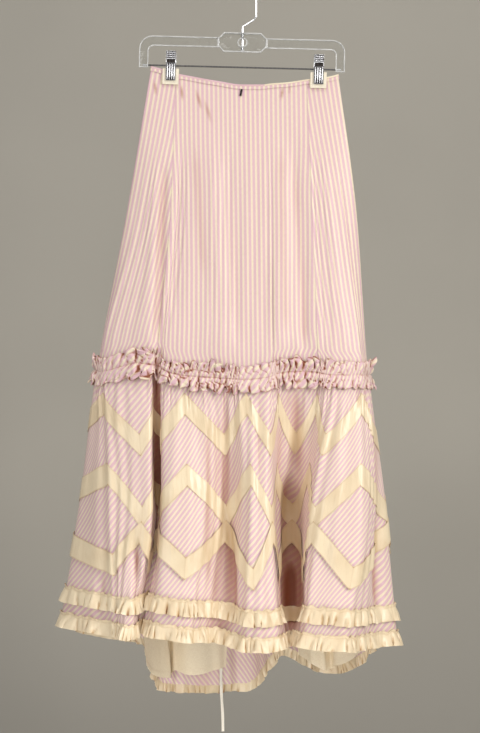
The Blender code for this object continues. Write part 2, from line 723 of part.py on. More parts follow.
def make_pad(name, middle, side, tilt):
    """The cream pad between a jaw and the cloth."""
    low = (middle - PAD_WIDTH / 2, min(side * PAD_INNER, side * PAD_OUTER), ROD_DROP + PAD_BOTTOM)
    high = (middle + PAD_WIDTH / 2, max(side * PAD_INNER, side * PAD_OUTER), ROD_DROP + PAD_TOP)
    pad = box(name, low, high, "cream_card")
    pad.data.transform(tilt)


def make_clips(tilt):
    for place, middle in CLIP_PLACES.items():
        for face, side in (("front", -1), ("back", 1)):
            make_jaw(f"clip_{place}_{face}_jaw", middle, side, tilt)
            make_pad(f"clip_{place}_{face}_pad", middle, side, tilt)
        make_spring(f"clip_{place}_spring", middle, tilt)


def make_waist_hook():
    """The small dark fastening sewn on the front below the waist."""
    size = WAIST_HOOK
    half = size["width"] / 2
    low, high = (-half, -size["wall"], -size["height"] / 2), (half, 0, size["height"] / 2)
    hook = box("waist_hook", low, high, "dark_metal")
    front = [column for column in GRID if column.points[0][1] < 0]
    column = min(front, key=lambda item: abs(item.at(size["drop"], 0)[0] - size["x"]))
    seat = column.at(size["drop"], WALL + WAIST_HOOK_GAP)
    hook.location = Vector((size["x"], seat[1], -size["drop"])) * MM
    hook.rotation_euler.y = size["turn"]


def main():
    clear_scene()
    make_gores()
    make_binding()
    make_flounce()
    make_overlay()
    make_bands()
    make_ruche()
    make_frill("frill_upper", UPPER_FRILL)
    make_frill("frill_lower", LOWER_FRILL)
    make_train_lining()
    make_tape()
    make_waist_hook()
    tilt = Matrix.Rotation(TILT, 4, "Y")
    shank_x = make_frame(tilt)
    make_hook(shank_x)
    make_rod(tilt)
    make_clips(tilt)


main()
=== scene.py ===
"""Ruffle maxi skirt on a clip hanger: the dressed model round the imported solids.

The skirt's surface is worked out from the same fold table as the solids, in millimetres: x to the right, y
away from the camera, and drops downwards from the inside top of the hanger's hook. Every cloth piece is a
thin closed shell at its own place in the layers, with finer folds, gathers and creases than its solid has.
"""

import math

import bpy
import numpy as np
from mathutils import Matrix, Vector


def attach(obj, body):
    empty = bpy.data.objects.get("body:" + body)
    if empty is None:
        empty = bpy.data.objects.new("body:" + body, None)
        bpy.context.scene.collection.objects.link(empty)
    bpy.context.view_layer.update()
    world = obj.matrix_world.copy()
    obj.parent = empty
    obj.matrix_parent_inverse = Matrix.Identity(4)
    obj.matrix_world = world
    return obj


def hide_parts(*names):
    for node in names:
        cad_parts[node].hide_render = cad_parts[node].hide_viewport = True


bl_info = {
    "name": "Ruffle maxi skirt on a clip hanger",
    "version": (1, 0, 0),
    "blender": (4, 5, 0),
    "location": "3D View > Sidebar > Skirt",
    "description": "Builds a striped silk skirt with satin bands and frills on a clear clip hanger",
    "category": "Add Mesh",
}

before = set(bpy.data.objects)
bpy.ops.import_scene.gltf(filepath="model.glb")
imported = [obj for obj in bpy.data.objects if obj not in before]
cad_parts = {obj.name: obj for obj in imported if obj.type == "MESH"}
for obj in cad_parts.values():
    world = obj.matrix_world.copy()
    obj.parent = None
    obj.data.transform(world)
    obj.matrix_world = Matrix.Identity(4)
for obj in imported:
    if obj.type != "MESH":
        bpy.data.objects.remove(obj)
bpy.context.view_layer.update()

MM = 0.001
SEED = 11

# Cloth layers, in millimetres out from the skirt's own surface
GORE_LAYER = (0.3, 0.9)
BINDING_LAYER = (1.5, 2.3)
OVERLAY_LAYER = (2.1, 2.8)
BAND_LAYER = (3.4, 4.1)
EDGE_BAND_LAYER = (4.5, 5.2)
RUCHE_INNER = 4.0
RUCHE_WALL = 0.7
FRILL_INNER = 2.2
FRILL_WALL = 0.6
LINING_LAYER = (-1.9, -1.1)

# Heights, in millimetres below the hook for drops, and above the garment's lowest edge for rises
HIP_DROP = 400
MID_DROP = 900
BINDING_HEIGHT = 8.0
FLOUNCE_HEM_RISE = 18
OVERLAY_TIP_RISE = 105
OVERLAY_LOWEST_TIP = 1062
OVERLAY_NOTCH_DROP = 967
BAND_DEPTH = 38
BANDS = {
    # name: drop of its upper edge at a peak and in a valley
    "band_upper": (712, 782),
    "band_middle": (832, 904),
}
RUCHE_HALF_HEIGHT = 23.5
RUCHE_CREASE = 0.26
FRILLS = {
    # name: rise of its top and of its hem
    "frill_upper": (73, 43),
    "frill_lower": (28, 0),
}

# Folds, in millimetres, at the levels waist, hip, knee, mid and hem. The zigzags peak at 1 and turn up at 0
FOLDS = (
    # name, x at the five levels, y from the hip on, drops of the waist, knee and hem, zigzag
    ("left_edge", -160, -203, -254, -283, -320, 0, 0, 0, 0, 145, 672, 1118, None),
    ("left_shoulder", -149, -180, -242, -226, -212, -12, -22, -68, -94, 148, 676, 1128, 1),
    ("left_ridge", -135, -156, -184, -172, -207, -16, -43, -88, -107, 152, 661, 1130, 0),
    ("slot_left_lip", -129, -146, -164, -158, -195, -17, -46, -92, -106, 154, 664, 1131, None),
    ("slot_left_wall", -124, -137, -157, -157, -187, -17, -43, -66, -92, 156, 664, 1125, 1),
    ("left_slot", -118, -127, -149, -148, -177, -17, -41, -46, -84, 158, 665, 1122, None),
    ("slot_right_wall", -112, -118, -141, -138, -166, -17, -43, -66, -92, 159, 668, 1124, 0),
    ("slot_right_lip", -106, -110, -134, -137, -156, -17, -47, -94, -110, 160, 675, 1125, None),
    ("inner_left_ridge", -90, -88, -102, -96, -108, -18, -50, -100, -124, 163, 683, 1132, 1),
    ("shallow_trough", -45, -42, -38, -30, -47, -18, -50, -56, -82, 171, 687, 1138, 0),
    ("middle_ridge", -3, 0, 3, 14, 18, -19, -54, -102, -128, 177, 690, 1150, 1),
    ("overlapping_edge", 31, 38, 43, 45, 58, -19, -53, -94, -112, 177, 685, 1148, 0),
    ("recess_left", 48, 56, 58, 52, 67, -18, -47, -38, -97, 175, 678, 1146, 1),
    ("deep_recess", 76, 88, 94, 84, 78, -17, -42, -14, -86, 173, 675, 1144, 0),
    ("right_seam", 109, 118, 127, 110, 89, -17, -42, -38, -96, 168, 677, 1142, 1),
    ("right_lip", 118, 131, 150, 122, 99, -16, -46, -92, -112, 167, 682, 1143, 0),
    ("right_ridge", 134, 162, 200, 196, 158, -15, -36, -98, -128, 165, 682, 1148, 1),
    ("right_trough", 149, 180, 210, 229, 226, -10, -18, -30, -46, 163, 682, 1150, None),
    ("right_edge", 163, 195, 215, 243, 267, 0, 0, 0, 0, 159, 681, 1151, 0),
    ("back_right_ridge", 149, 178, 196, 225, 252, 10, 28, 66, 84, 164, 682, 1158, 1),
    ("back_right_trough", 118, 143, 158, 191, 217, 15, 42, 30, 62, 168, 684, 1185, 0),
    ("back_right_swag", 76, 94, 109, 139, 155, 17, 50, 96, 138, 174, 686, 1222, 1),
    ("back_inner_trough", 31, 42, 53, 67, 68, 18, 48, 34, 72, 177, 688, 1180, 0),
    ("back_middle_ridge", -14, -7, 0, 7, 4, 18, 54, 100, 152, 177, 690, 1255, 1),
    ("back_middle", -56, -56, -56, -60, -68, 18, 50, 60, 122, 172, 688, 1255, 0),
    ("back_left_ridge", -94, -105, -116, -128, -144, 17, 50, 96, 142, 166, 682, 1254, 1),
    ("back_left_trough", -125, -150, -175, -197, -174, 14, 40, 28, 62, 159, 678, 1165, 0),
    ("back_left_shoulder", -146, -181, -227, -257, -269, 8, 26, 54, 88, 150, 676, 1148, None),
)
FOLD_COUNT = len(FOLDS)
FOLD_NAMES = [fold[0] for fold in FOLDS]
LAST_LEVEL = 4
WAIST_HALF_GAP = 0.7
PANELS = (
    # side, first fold, last fold, fold under the panel's middle
    ("left", "back_left_trough", "left_slot", "left_edge"),
    ("front", "left_slot", "right_seam", "middle_ridge"),
    ("right", "right_seam", "back_right_trough", "right_edge"),
    ("back", "back_right_trough", "back_left_trough", "back_middle_ridge"),
)
LININGS = (
    # side, first fold, last fold, side trims, rises of its lower edge, how far it stands loose, its flap
    ("right", "back_right_trough", "back_inner_trough", (6, 30), (22, 14), 14, 0),
    ("left", "back_middle_ridge", "back_left_trough", (42, 6), (50, 32), 22, 56),
)
LINING_SAG = 7.0
LINING_HEM_LINE = 9
# Painted shadow: the dark reddish brown that the deepest folds and hollows of the cloth take on in shade
DEEP_FOLD_SHADOW = (0.20, 0.045, 0.012)
# Painted shade: dark strips laid into the front's colour where its hollows, folds and creases lie in shade
PAINTED_SHADES = (
    # top_x, top_drop, bottom_x, bottom_drop, width, darkness of the painted shade in the hollows and
    # creases on the front
    (80, 950, 80, 1160, 19, 1.0),
    (-137, 270, -152, 664, 11, 0.32),
    (-88, 240, -66, 560, 12, 0.27),
    (-30, 300, -16, 640, 9, 0.20),
    (64, 240, 72, 660, 11, 0.29),
    (-110, 168, -106, 214, 3.5, 0.55),
    (-86, 174, -71, 232, 4, 0.52),
    (-72, 190, -53, 258, 4.5, 0.45),
    (70, 172, 62, 212, 3.5, 0.58),
    (82, 172, 76, 200, 3, 0.45),
    (-158, 160, -150, 206, 4, 0.50),
    (226, 700, 228, 960, 6, 0.30),
    (-62, 720, -62, 1080, 8, 0.40),
)
SHADE_END = 90

# Cloth grid
ROW_SPACING = 6.0
RUCHE_SPACING = 1.9
FRILL_SPACING = 1.5
SEAM_TRIM = 0.3
STITCH_SHARE = 0.16
BAND_ROWS = np.array((0, 0.035, 0.08, 0.2, 0.35, 0.5, 0.65, 0.8, 0.92, 0.965, 1))
STITCH_DEPTH = 0.32
MITRE_DEPTH = 0.26
BAND_STITCH = 0.46
LEAST_FILL = 0.31
SHARP_CLOTH = math.radians(60)
BINDING_ROWS = np.array((0, 0.12, 0.3, 0.36, 0.6, 0.85, 1))
BINDING_EDGE_ROWS = 3
BINDING_CHANGE_X = 36.0
PINK_PLACE = 0.25
CREAM_PLACE = 0.75
FRILL_ROWS = np.array((0, 0.05, 0.1, 0.14, 0.18, 0.25, 0.35, 0.48, 0.62, 0.76, 0.9, 1.0))
RUCHE_WAVES = (
    # waves round the skirt, how unevenly they are spaced: upper edge, lower edge, slow swell
    (70, 3.2),
    (64, 3.2),
    (31, 2.0),
)
RUCHE_CALM = (
    # low_x, high_x of the stretches of the front where the heading lies flatter
    (-246, -204),
    (2, 52),
    (158, 222),
)
RUCHE_CALM_END = 12
RUCHE_CALM_SHARE = 0.6
RUCHE_ROWS = 33
RUCHE_LEAN = 1.6
RUCHE_CRUMPLES = (24, 13)
RUCHE_CRUMPLE_OUT = (4.8, 2.0)
RUCHE_PUFF_OUT = (0.6, 1.2)
RUCHE_WAVE_OUT = (3.6, 2.4)
RUCHE_STITCH_IN = 0.8
RUCHE_LOOP = 4.2
RUCHE_PUSH = 2.6
RUCHE_WANDER = (0.17, 0.14)
# The ruche's dark edge lines are partly painted shade and partly its picked edges, its middle line is
# stitches, and its crease lines are painted shade
RUCHE_EDGE_SHADE_AND_STITCH = (0.5, 0.18)
RUCHE_CREASE_SHADES = (0.85, 0.4)
RUCHE_SHADING = 2.0
USUAL_CRUMPLE = 0.7
FRILL_WAVES = 112
FRILL_SWELLS = 40
FRILL_PLEATS = 230
FRILL_LEAN = 1.4
FRILL_CRUMPLE = 20
FRILL_CRUMPLE_OUT = 1.6
FRILL_HEADING_OUT = (0.4, 2.2)
FRILL_WAVE_OUT = (3.0, 2.2)
FRILL_SWELL_OUT = 4.0
FRILL_LOOP = 2.6
FRILL_WANDER = (1.5, 1.3)
FRILL_LIFT = 1.6
FRILL_LINE_DEPTHS = (0.26, 0.3)
FRILL_SHADING = 2.6
BIAS = math.radians(48)
TIER_FULLNESS = 1.28
RUCHE_BIAS = math.radians(60)

# Creases: side is -1 on the front and 1 on the back
CREASE_END = 60
CREASES = (
    # side, top_x, top_drop, bottom_x, bottom_drop, width, height
    (-1, -140, 165, -168, 660, 13, 3.4),
    (-1, -104, 190, -122, 600, 11, -3.2),
    (-1, -60, 200, -44, 560, 14, 2.4),
    (-1, -30, 190, -8, 650, 12, -2.8),
    (-1, 52, 185, 66, 660, 13, 3.4),
    (-1, 84, 185, 106, 660, 12, -5.5),
    (-1, 128, 180, 166, 640, 12, 3.0),
    (-1, -112, 166, -80, 236, 5, -4.5),
    (-1, -96, 170, -70, 222, 4, 3.0),
    (-1, -148, 158, -143, 216, 4, -4.0),
    (-1, 58, 176, 44, 224, 5, -4.5),
    (-1, 118, 176, 100, 232, 5, 3.4),
    (-1, -137, 290, -150, 664, 8, -6.0),
    (-1, -215, 690, -236, 1000, 14, 3.0),
    (-1, -150, 640, -148, 930, 6, -14.0),
    (-1, -112, 700, -128, 980, 9, 2.8),
    (-1, -58, 720, -64, 1100, 10, 3.6),
    (-1, 24, 720, 36, 1060, 8, -3.0),
    (-1, 86, 680, 92, 880, 12, -9.0),
    (-1, 168, 700, 150, 1040, 10, 3.6),
    (-1, -184, 950, -182, 1100, 6, -10.0),
    (-1, -26, 900, -18, 1120, 8, -9.0),
    (-1, 80, 840, 82, 1120, 14, -26.0),
    (-1, 229, 900, 231, 1110, 7, -10.0),
    (-1, -242, 1010, -250, 1110, 6, -5.0),
    (1, -120, 180, -140, 640, 14, 3.0),
    (1, -40, 190, -30, 650, 14, -2.8),
    (1, 60, 190, 80, 640, 12, 3.0),
    (1, 120, 180, 150, 620, 10, -2.4),
    (1, -90, 720, -100, 1100, 14, 3.0),
    (1, 100, 720, 116, 1100, 14, -3.0),
)
CREASE_ROOM = (2, 16)
PUCKER_COUNT = 150
PUCKER_HEIGHT = 2.4
PUCKER_START = (8, 20)
PUCKER_FULL = 30
PUCKER_REACH = 90
SOFT_FOLD_COUNT = 52
SOFT_FOLD_HEIGHT = 4.2
SOFT_FOLD_START = (4, 60)
SOFT_FOLD_ABOVE = 0.3
SOFT_FOLD_ABOVE_START = (10, 90)
SOFT_FOLD_ABOVE_END = (380, 470)

# Tape
TAPE_ROUTE = (
    # x, y, z
    (-41, 118.8, -1206),
    (-41, 122.6, -1228),
    (-40, 125, -1255),
    (-38, 125.5, -1288),
    (-37.5, 125, -1320),
)
TAPE_WIDTH = 5.0
TAPE_WALL = 1.0
TAPE_SPACING = 3.0
TAPE_COLUMNS = 5
TAPE_SWAY = 0.5
TAPE_SWAYS = 9.0

# Hanger
TILT = math.radians(1.45)
FRAME_EDGE = 0.35
FRAME_RIM = 1.5
FRAME_STEP = 0.4
FRAME_SUNK = 1.6
ROD_DROP = -147.1
CLIP_PLACES = {"left": -123.1, "right": 133.6}
RIB_COUNT = 4
RIB_PITCH = 3.9
RIB_RADIUS = 1.2
RIB_LENGTH = 28
RIB_OUT = 8.7
RIB_HEIGHT = -11.0
DOT_COUNT = 5
DOT_PITCH = 2.9
DOT_SIZE = (2.2, 1.6, 2.2)
DOT_HEIGHT = 11.2
GRIP_ROWS = 4
GRIP_STEP = 3.1
GRIP_LEAN = 4 / 14
GRIP_OUT = 10.8
# The dark grounds are dark blocks that stand for the shade in the grooves between the ribs and dots and in
# the slot: painted shade
CLIP_GROUNDS = (
    # part, height above the rod, distance from the middle, size
    ("rib_ground", -11.0, 8.55, (15.6, 0.4, 30.0)),
    ("slot", 7.0, 10.15, (15.4, 1.0, 5.0)),
    ("grip_ground", 16.0, 12.05, (15.6, 0.5, 13.6)),
)
GROUND_BEVEL = 0.15
RIB_BEVEL = 0.4
DOT_BEVEL = 0.5
FACING_FRONT = 0.99
WELD = 0.00001
FLAT_ANGLE = math.radians(2)
FRAME_SHARP = math.radians(30)
PART_SHARP = math.radians(50)
SMOOTH_ANGLE = math.radians(35)
ROD_SIDES = 20
SHANK_DROP = 104.2
COLLAR_RADIUS = 2.7
COLLARS = (
    # z, length
    (-90.5, 9),
    (-115.0, 11),
)

# Camera, in millimetres
CAMERA_X = -6.9
CAMERA_DROP = 666.5
CAMERA_DISTANCE = 4000
CAMERA_LENS = 113.1
CAMERA_SENSOR = 36

# Stage, in metres
WALL_Y = 1.1
WALL_TOP = 1.6
FLOOR_Z = -1.75
FLOOR_FRONT = -2.6
SWEEP_BEND = 0.7
SWEEP_HALF = 3.2
BEND_ANGLES = np.linspace(0.1, 1.5, 12)
# The first and last values paint shade: the backdrop darkens between these heights, towards the floor, to
# this share of its colour. The middle one is the share in its uneven patches.
BACKDROP_SHADE_HEIGHTS = (-0.75, -1.75)
BACKDROP_GRAIN = 0.94
BACKDROP_LOW_SHADE = 0.57
ROOM_LIGHT = (-0.4, 0.7, 0.10, 0.70)
ROOM_COLOUR = (1.0, 0.98, 0.96, 1.0)
LIGHTS = (
    # name, place, target, size, power, colour
    ("key", (2.3, -2.2, 0.2), (0, 0, -0.68), (1.2, 1.8), 64, (1.0, 0.975, 0.94)),
    ("fill", (-2.0, -3.0, -0.7), (0, 0, -0.68), (1.8, 2.2), 31, (1.0, 0.98, 0.97)),
    ("low", (0.3, -2.4, -1.7), (0, 0.1, -1.2), (1.6, 0.6), 11, (1.0, 0.99, 0.97)),
    ("train", (0, -0.5, -1.68), (0, 0.2, -1.2), (1.0, 0.3), 3.6, (1.0, 0.98, 0.95)),
    ("top", (-0.1, -0.9, 1.2), (0, 0, -0.1), (1.6, 0.4), 7.5, (1.0, 1.0, 1.0)),
)


# The skirt's surface


def level_points():
    """The folds' points at the five levels: an array of level, fold, (x, y, drop)."""
    points = np.zeros((5, FOLD_COUNT, 3))
    for i, fold in enumerate(FOLDS):
        xs, ys, drops = fold[1:6], fold[6:10], fold[10:13]
        points[:, i, 0] = xs
        points[:, i, 1] = (np.sign(ys[0]) * WAIST_HALF_GAP, *ys)
        points[:, i, 2] = (drops[0], HIP_DROP, drops[1], MID_DROP, drops[2])
    return points


def gentle_slopes(steps):
    """Slopes between equal steps that never make a curve swing past its points."""
    before, after = steps[:-1], steps[1:]
    same_way = before * after > 0
    total = np.where(same_way, before + after, 1.0)
    return np.where(same_way, 2 * before * after / total, 0.0)


def hermite(start, end, start_slope, end_slope, t):
    """The place at a share t of a curve between two points with their slopes."""
    bend = 3 * t**2 - 2 * t**3
    straight = start * (1 - bend) + end * bend
    return straight + start_slope * (t**3 - 2 * t**2 + t) + end_slope * (t**3 - t**2)


LEVELS = level_points()
RING_STEPS = np.diff(np.concatenate([LEVELS[:, -1:], LEVELS, LEVELS[:, :1]], axis=1), axis=1)
AROUND = gentle_slopes(RING_STEPS.swapaxes(0, 1)).swapaxes(0, 1)


def surface(folds, levels):
    """Points (x, y, z), in millimetres, at places round the skirt, in folds, and levels from waist to hem.

    Levels run from 0 to 4. Both arrays have the same shape, and the points' array has one more axis.
    """
    folds, levels = np.broadcast_arrays(folds, levels)
    shape = folds.shape
    folds, levels = folds.ravel(), levels.ravel()
    i = np.floor(folds).astype(int)
    t = (folds - i)[None, :, None]
    i, after = i % FOLD_COUNT, (i + 1) % FOLD_COUNT
    here = hermite(LEVELS[:, i], LEVELS[:, after], AROUND[:, i], AROUND[:, after], t)
    steps = np.diff(here, axis=0)
    slopes = np.concatenate([steps[:1], gentle_slopes(steps), steps[-1:]])
    slopes[0, :, 1] = 0
    j = np.minimum(levels.astype(int), LAST_LEVEL - 1)
    n = np.arange(len(folds))
    points = hermite(here[j, n], here[j + 1, n], slopes[j, n], slopes[j + 1, n], (levels - j)[:, None])
    return (points * (1, 1, -1)).reshape(*shape, 3)


def unit(vectors):
    """The vectors, one millimetre long."""
    return vectors / np.maximum(np.linalg.norm(vectors, axis=-1, keepdims=True), 1e-9)


def lengths_round(level):
    """Places round the skirt, in folds, and the cloth's length up to each."""
    folds = np.arange(0, FOLD_COUNT + 0.001, 0.02)
    points = surface(folds, np.full(len(folds), float(level)))
    steps = np.linalg.norm(np.diff(points, axis=0), axis=1)
    return folds, np.concatenate([[0], np.cumsum(steps)])


MID_FOLDS, MID_LENGTHS = lengths_round(3)
MID_ROUND = MID_LENGTHS[-1]
ZIGZAG_FOLDS = [i for i, fold in enumerate(FOLDS) if fold[13] is not None]
ZIGZAG_LENGTHS = np.interp(ZIGZAG_FOLDS, MID_FOLDS, MID_LENGTHS)
ZIGZAG_SHARES = [FOLDS[i][13] for i in ZIGZAG_FOLDS]


def peak_share(folds):
    """1 at a peak of the zigzags and 0 in a valley, and even along the cloth between them."""
    lengths = np.interp(folds % FOLD_COUNT, MID_FOLDS, MID_LENGTHS)
    return np.interp(lengths, ZIGZAG_LENGTHS, ZIGZAG_SHARES, period=MID_ROUND)


def along_cloth(folds, shift):
    """The places that lie a length of cloth further round, measured at the fourth level."""
    turns = np.floor(folds / FOLD_COUNT)
    lengths = np.interp(folds - turns * FOLD_COUNT, MID_FOLDS, MID_LENGTHS) + shift
    more = np.floor(lengths / MID_ROUND)
    return np.interp(lengths - more * MID_ROUND, MID_LENGTHS, MID_FOLDS) + (turns + more) * FOLD_COUNT


SOFTEN = np.array((-5.0, -2.5, 0.0, 2.5, 5.0))
LEVEL_STEPS = np.linspace(0, LAST_LEVEL, 161)
KNEE_STEP = 80


def soft_surface(folds, levels):
    """The surface with its lips and slots rounded to a few millimetres, as cloth bends."""
    return np.mean([surface(along_cloth(folds, shift), levels) for shift in SOFTEN], axis=0)


def soft_normals(folds, levels, step=0.03, reach=1.5):
    """Directions out of the softened cloth."""
    below, above = np.minimum(levels + step, LAST_LEVEL), np.maximum(levels - step, 0)
    right, left = along_cloth(folds, reach), along_cloth(folds, -reach)
    down = soft_surface(folds, below) - soft_surface(folds, above)
    across = soft_surface(right, levels) - soft_surface(left, levels)
    return unit(np.cross(down, across))


class Columns:
    """Lines down the skirt at places round it, in folds."""

    def __init__(self, folds):
        self.folds = np.asarray(folds, float)
        self.peak = peak_share(self.folds)
        levels = np.broadcast_to(LEVEL_STEPS, (len(folds), len(LEVEL_STEPS)))
        self.lines = -soft_surface(self.folds[:, None], levels)[..., 2]
        self.waist, self.knee, self.hem = self.lines[:, 0], self.lines[:, KNEE_STEP], self.lines[:, -1]
        tips = np.minimum(self.hem - OVERLAY_TIP_RISE, OVERLAY_LOWEST_TIP)
        self.tier_hem = self.edge(tips, OVERLAY_NOTCH_DROP)
        self.lengths = np.interp(self.folds % FOLD_COUNT, MID_FOLDS, MID_LENGTHS)
        self.lengths += np.floor(self.folds / FOLD_COUNT) * MID_ROUND

    def edge(self, peak_drop, valley_drop):
        """Drops of a zigzag edge."""
        return valley_drop + self.peak * (peak_drop - valley_drop)

    def place(self, drops, out, sideways=0.0):
        """Points at an array of column, row of drops, moved out and sideways, with the cloth's creases."""
        levels = np.array([np.interp(row, line, LEVEL_STEPS) for row, line in zip(drops, self.lines)])
        folds = along_cloth(np.repeat(self.folds[:, None], drops.shape[1], axis=1), sideways)
        points = soft_surface(folds, levels)
        lengths = np.repeat(self.lengths[:, None], drops.shape[1], axis=1)
        out = np.broadcast_to(out, drops.shape) + creases(points, drops - self.knee[:, None], lengths)
        return points + soft_normals(folds, levels) * out[..., None]


def bump(values, centre, width):
    """1 at the centre and less on both sides, in a bell's shape."""
    return np.exp(-(((values - centre) / width) ** 2))


def fade(values, start, end):
    """0 at start, 1 at end and smooth between them."""
    t = np.clip((values - start) / (end - start), 0, 1)
    return t * t * (3 - 2 * t)


def uneven_phase(lengths, count, seed, wander=2.0):
    """The angle of a wave that goes count times round the skirt, with uneven widths."""
    rng = np.random.default_rng(seed)
    turn = 2 * math.pi * lengths / MID_ROUND
    phase = count * turn
    for _ in range(6):
        rounds, start = rng.integers(3, max(4, count // 3)), rng.uniform(0, 2 * math.pi)
        phase = phase + wander * rng.uniform(0.3, 1) * np.cos(rounds * turn + start)
    return phase


def uneven_waves(lengths, count, seed, wander=2.0):
    """A wave between 0 and 1 that goes count times round the skirt, with uneven widths."""
    return (1 + np.cos(uneven_phase(lengths, count, seed, wander))) / 2


def creases(points, below_seam, lengths):
    """How far the cloth stands out for its soft creases and puckers, in millimetres."""
    x, y = points[..., 0], points[..., 1]
    out = np.zeros(x.shape)
    for side, top_x, top_drop, bottom_x, bottom_drop, width, height in CREASES:
        drop = -points[..., 2]
        share = np.clip((drop - top_drop) / (bottom_drop - top_drop), 0, 1)
        middle = top_x + share * (bottom_x - top_x)
        end = min(CREASE_END, (bottom_drop - top_drop) / 3)
        ends = fade(drop, top_drop, top_drop + end) * (1 - fade(drop, bottom_drop - end, bottom_drop))
        out += height * bump(x, middle, width) * ends * (np.sign(y) == side)
    room = fade(np.abs(y), *CREASE_ROOM)
    puckers = uneven_waves(lengths, PUCKER_COUNT, SEED) - 0.5
    below = fade(below_seam, *PUCKER_START) * (1 - fade(below_seam, PUCKER_FULL, PUCKER_REACH))
    above = fade(-below_seam, *PUCKER_START) * (1 - fade(-below_seam, PUCKER_FULL, PUCKER_REACH / 2))
    out = out + PUCKER_HEIGHT * puckers * (below + 0.5 * above)
    swell = uneven_waves(lengths, SOFT_FOLD_COUNT // 3, SEED + 1)
    folds = uneven_waves(lengths + 0.06 * below_seam, SOFT_FOLD_COUNT, SEED + 20, 3.0) - 0.5
    out += SOFT_FOLD_HEIGHT * folds * (0.35 + 0.65 * swell) * fade(below_seam, *SOFT_FOLD_START)
    above = fade(-below_seam, *SOFT_FOLD_ABOVE_START) * (1 - fade(-below_seam, *SOFT_FOLD_ABOVE_END))
    out += SOFT_FOLD_ABOVE * SOFT_FOLD_HEIGHT * folds * above
    return out * room


def spread(start, end, spacing, level=3):
    """Places from one fold to another at about an even spacing of cloth, with every fold among them."""
    if end <= start:
        end += FOLD_COUNT
    folds, lengths = lengths_round(level)
    places = []
    for i in range(start, end):
        before, after = np.interp((i % FOLD_COUNT, i % FOLD_COUNT + 1), folds, lengths)
        span = after - before
        parts = max(2, round(span / spacing))
        places += [i + k / parts for k in range(parts)]
    return np.array([*places, end])


def panel_columns(first, last, spacing, trims):
    """A panel's columns, with a length of cloth trimmed off each side."""
    folds = spread(FOLD_NAMES.index(first), FOLD_NAMES.index(last), spacing)
    low, high = along_cloth(folds[:1], trims[0])[0], along_cloth(folds[-1:], -trims[1])[0]
    return Columns(np.array([low, *folds[(folds > low) & (folds < high)], high]))


def ring_columns(spacing, level=3):
    """Columns all round the skirt."""
    return Columns(spread(0, FOLD_COUNT, spacing, level)[:-1])


# Meshes of cloth


def shell(name, outer, inner, flat, depth, finish, ring=False):
    """A thin closed piece of cloth between two arrays of column, row, (x, y, z), in millimetres.

    flat holds each point's place on the flat cloth, for the weave and the stripes, and depth the painted
    shade of how far it lies in a fold, with the dark lines of seams and stitches. Both have one column more
    than a ring's points, whose first column comes twice.
    """
    count, rows = outer.shape[:2]
    half = count * rows
    index = np.arange(half).reshape(count, rows)
    corners = index
    if ring:
        index = np.concatenate([index, index[:1]])
        corners = np.arange((count + 1) * rows).reshape(count + 1, rows)

    def quads(grid, offset):
        """The faces of both sides and of the edges."""
        a, b = grid[:-1], grid[1:]
        out = np.stack([a[:, :-1], a[:, 1:], b[:, 1:], b[:, :-1]], axis=-1).reshape(-1, 4)
        into = np.stack([a[:, :-1], b[:, :-1], b[:, 1:], a[:, 1:]], axis=-1).reshape(-1, 4) + offset
        upper = np.stack([a[:, 0], b[:, 0], b[:, 0] + offset, a[:, 0] + offset], axis=-1)
        lower = np.stack([a[:, -1], a[:, -1] + offset, b[:, -1] + offset, b[:, -1]], axis=-1)
        faces = [out, into, upper, lower]
        if not ring:
            first, last = grid[0], grid[-1]
            left = [first[1:], first[:-1], first[:-1] + offset, first[1:] + offset]
            right = [last[:-1], last[1:], last[1:] + offset, last[:-1] + offset]
            faces += [np.stack(left, axis=-1), np.stack(right, axis=-1)]
        return np.concatenate(faces)

    faces = quads(index, half)
    loops = quads(corners, corners.size)
    mesh = bpy.data.meshes.new(name)
    points = np.concatenate([outer.reshape(-1, 3), inner.reshape(-1, 3)]) * MM
    mesh.from_pydata(points.tolist(), [], faces.tolist())
    places = np.concatenate([flat.reshape(-1, 2)] * 2)[loops.ravel()] * MM
    mesh.uv_layers.new(name="cloth").data.foreach_set("uv", places.ravel())
    # Painted shade of the folds and hollows, with the dark lines of seams and stitches, goes to the
    # materials as this attribute
    shade = mesh.attributes.new("painted_shade_and_stitches", "FLOAT", "POINT")
    shade.data.foreach_set("value", np.concatenate([depth[:count].ravel()] * 2).astype(np.float32))
    mesh.shade_smooth()
    mesh.set_sharp_from_angle(angle=SHARP_CLOTH)
    obj = bpy.data.objects.new(name, mesh)
    bpy.context.scene.collection.objects.link(obj)
    obj.data.materials.append(finish)
    return obj


def lengths_across(points):
    """The cloth's length across each row, from its first column."""
    steps = np.linalg.norm(np.diff(points, axis=0), axis=2)
    return np.concatenate([np.zeros((1, points.shape[1])), np.cumsum(steps, axis=0)])


def hidden_depth(points, reach=16.0):
    """0 on open cloth to 1 deep in a fold: how far each point lies behind the cloth round it, as a mask for
    painted shade.
    """
    lengths = lengths_across(points)
    depth = np.zeros(points.shape[:2])
    for k in range(points.shape[1]):
        row, length = points[:, k], lengths[:, k]
        for far in (reach, 2 * reach):
            ahead = np.array([np.interp(length + far, length, row[:, axis]) for axis in (0, 1)])
            behind = np.array([np.interp(length - far, length, row[:, axis]) for axis in (0, 1)])
            chord = ahead - behind
            span = np.linalg.norm(chord, axis=0)
            middle = (ahead + behind) / 2
            out = np.array([chord[1], -chord[0]]) / np.maximum(span, 1e-6)
            sunk = np.sum((middle - row[:, :2].T) * out, axis=0) / far
            depth[:, k] = np.maximum(depth[:, k], sunk)
    return np.clip(depth, 0, 1)


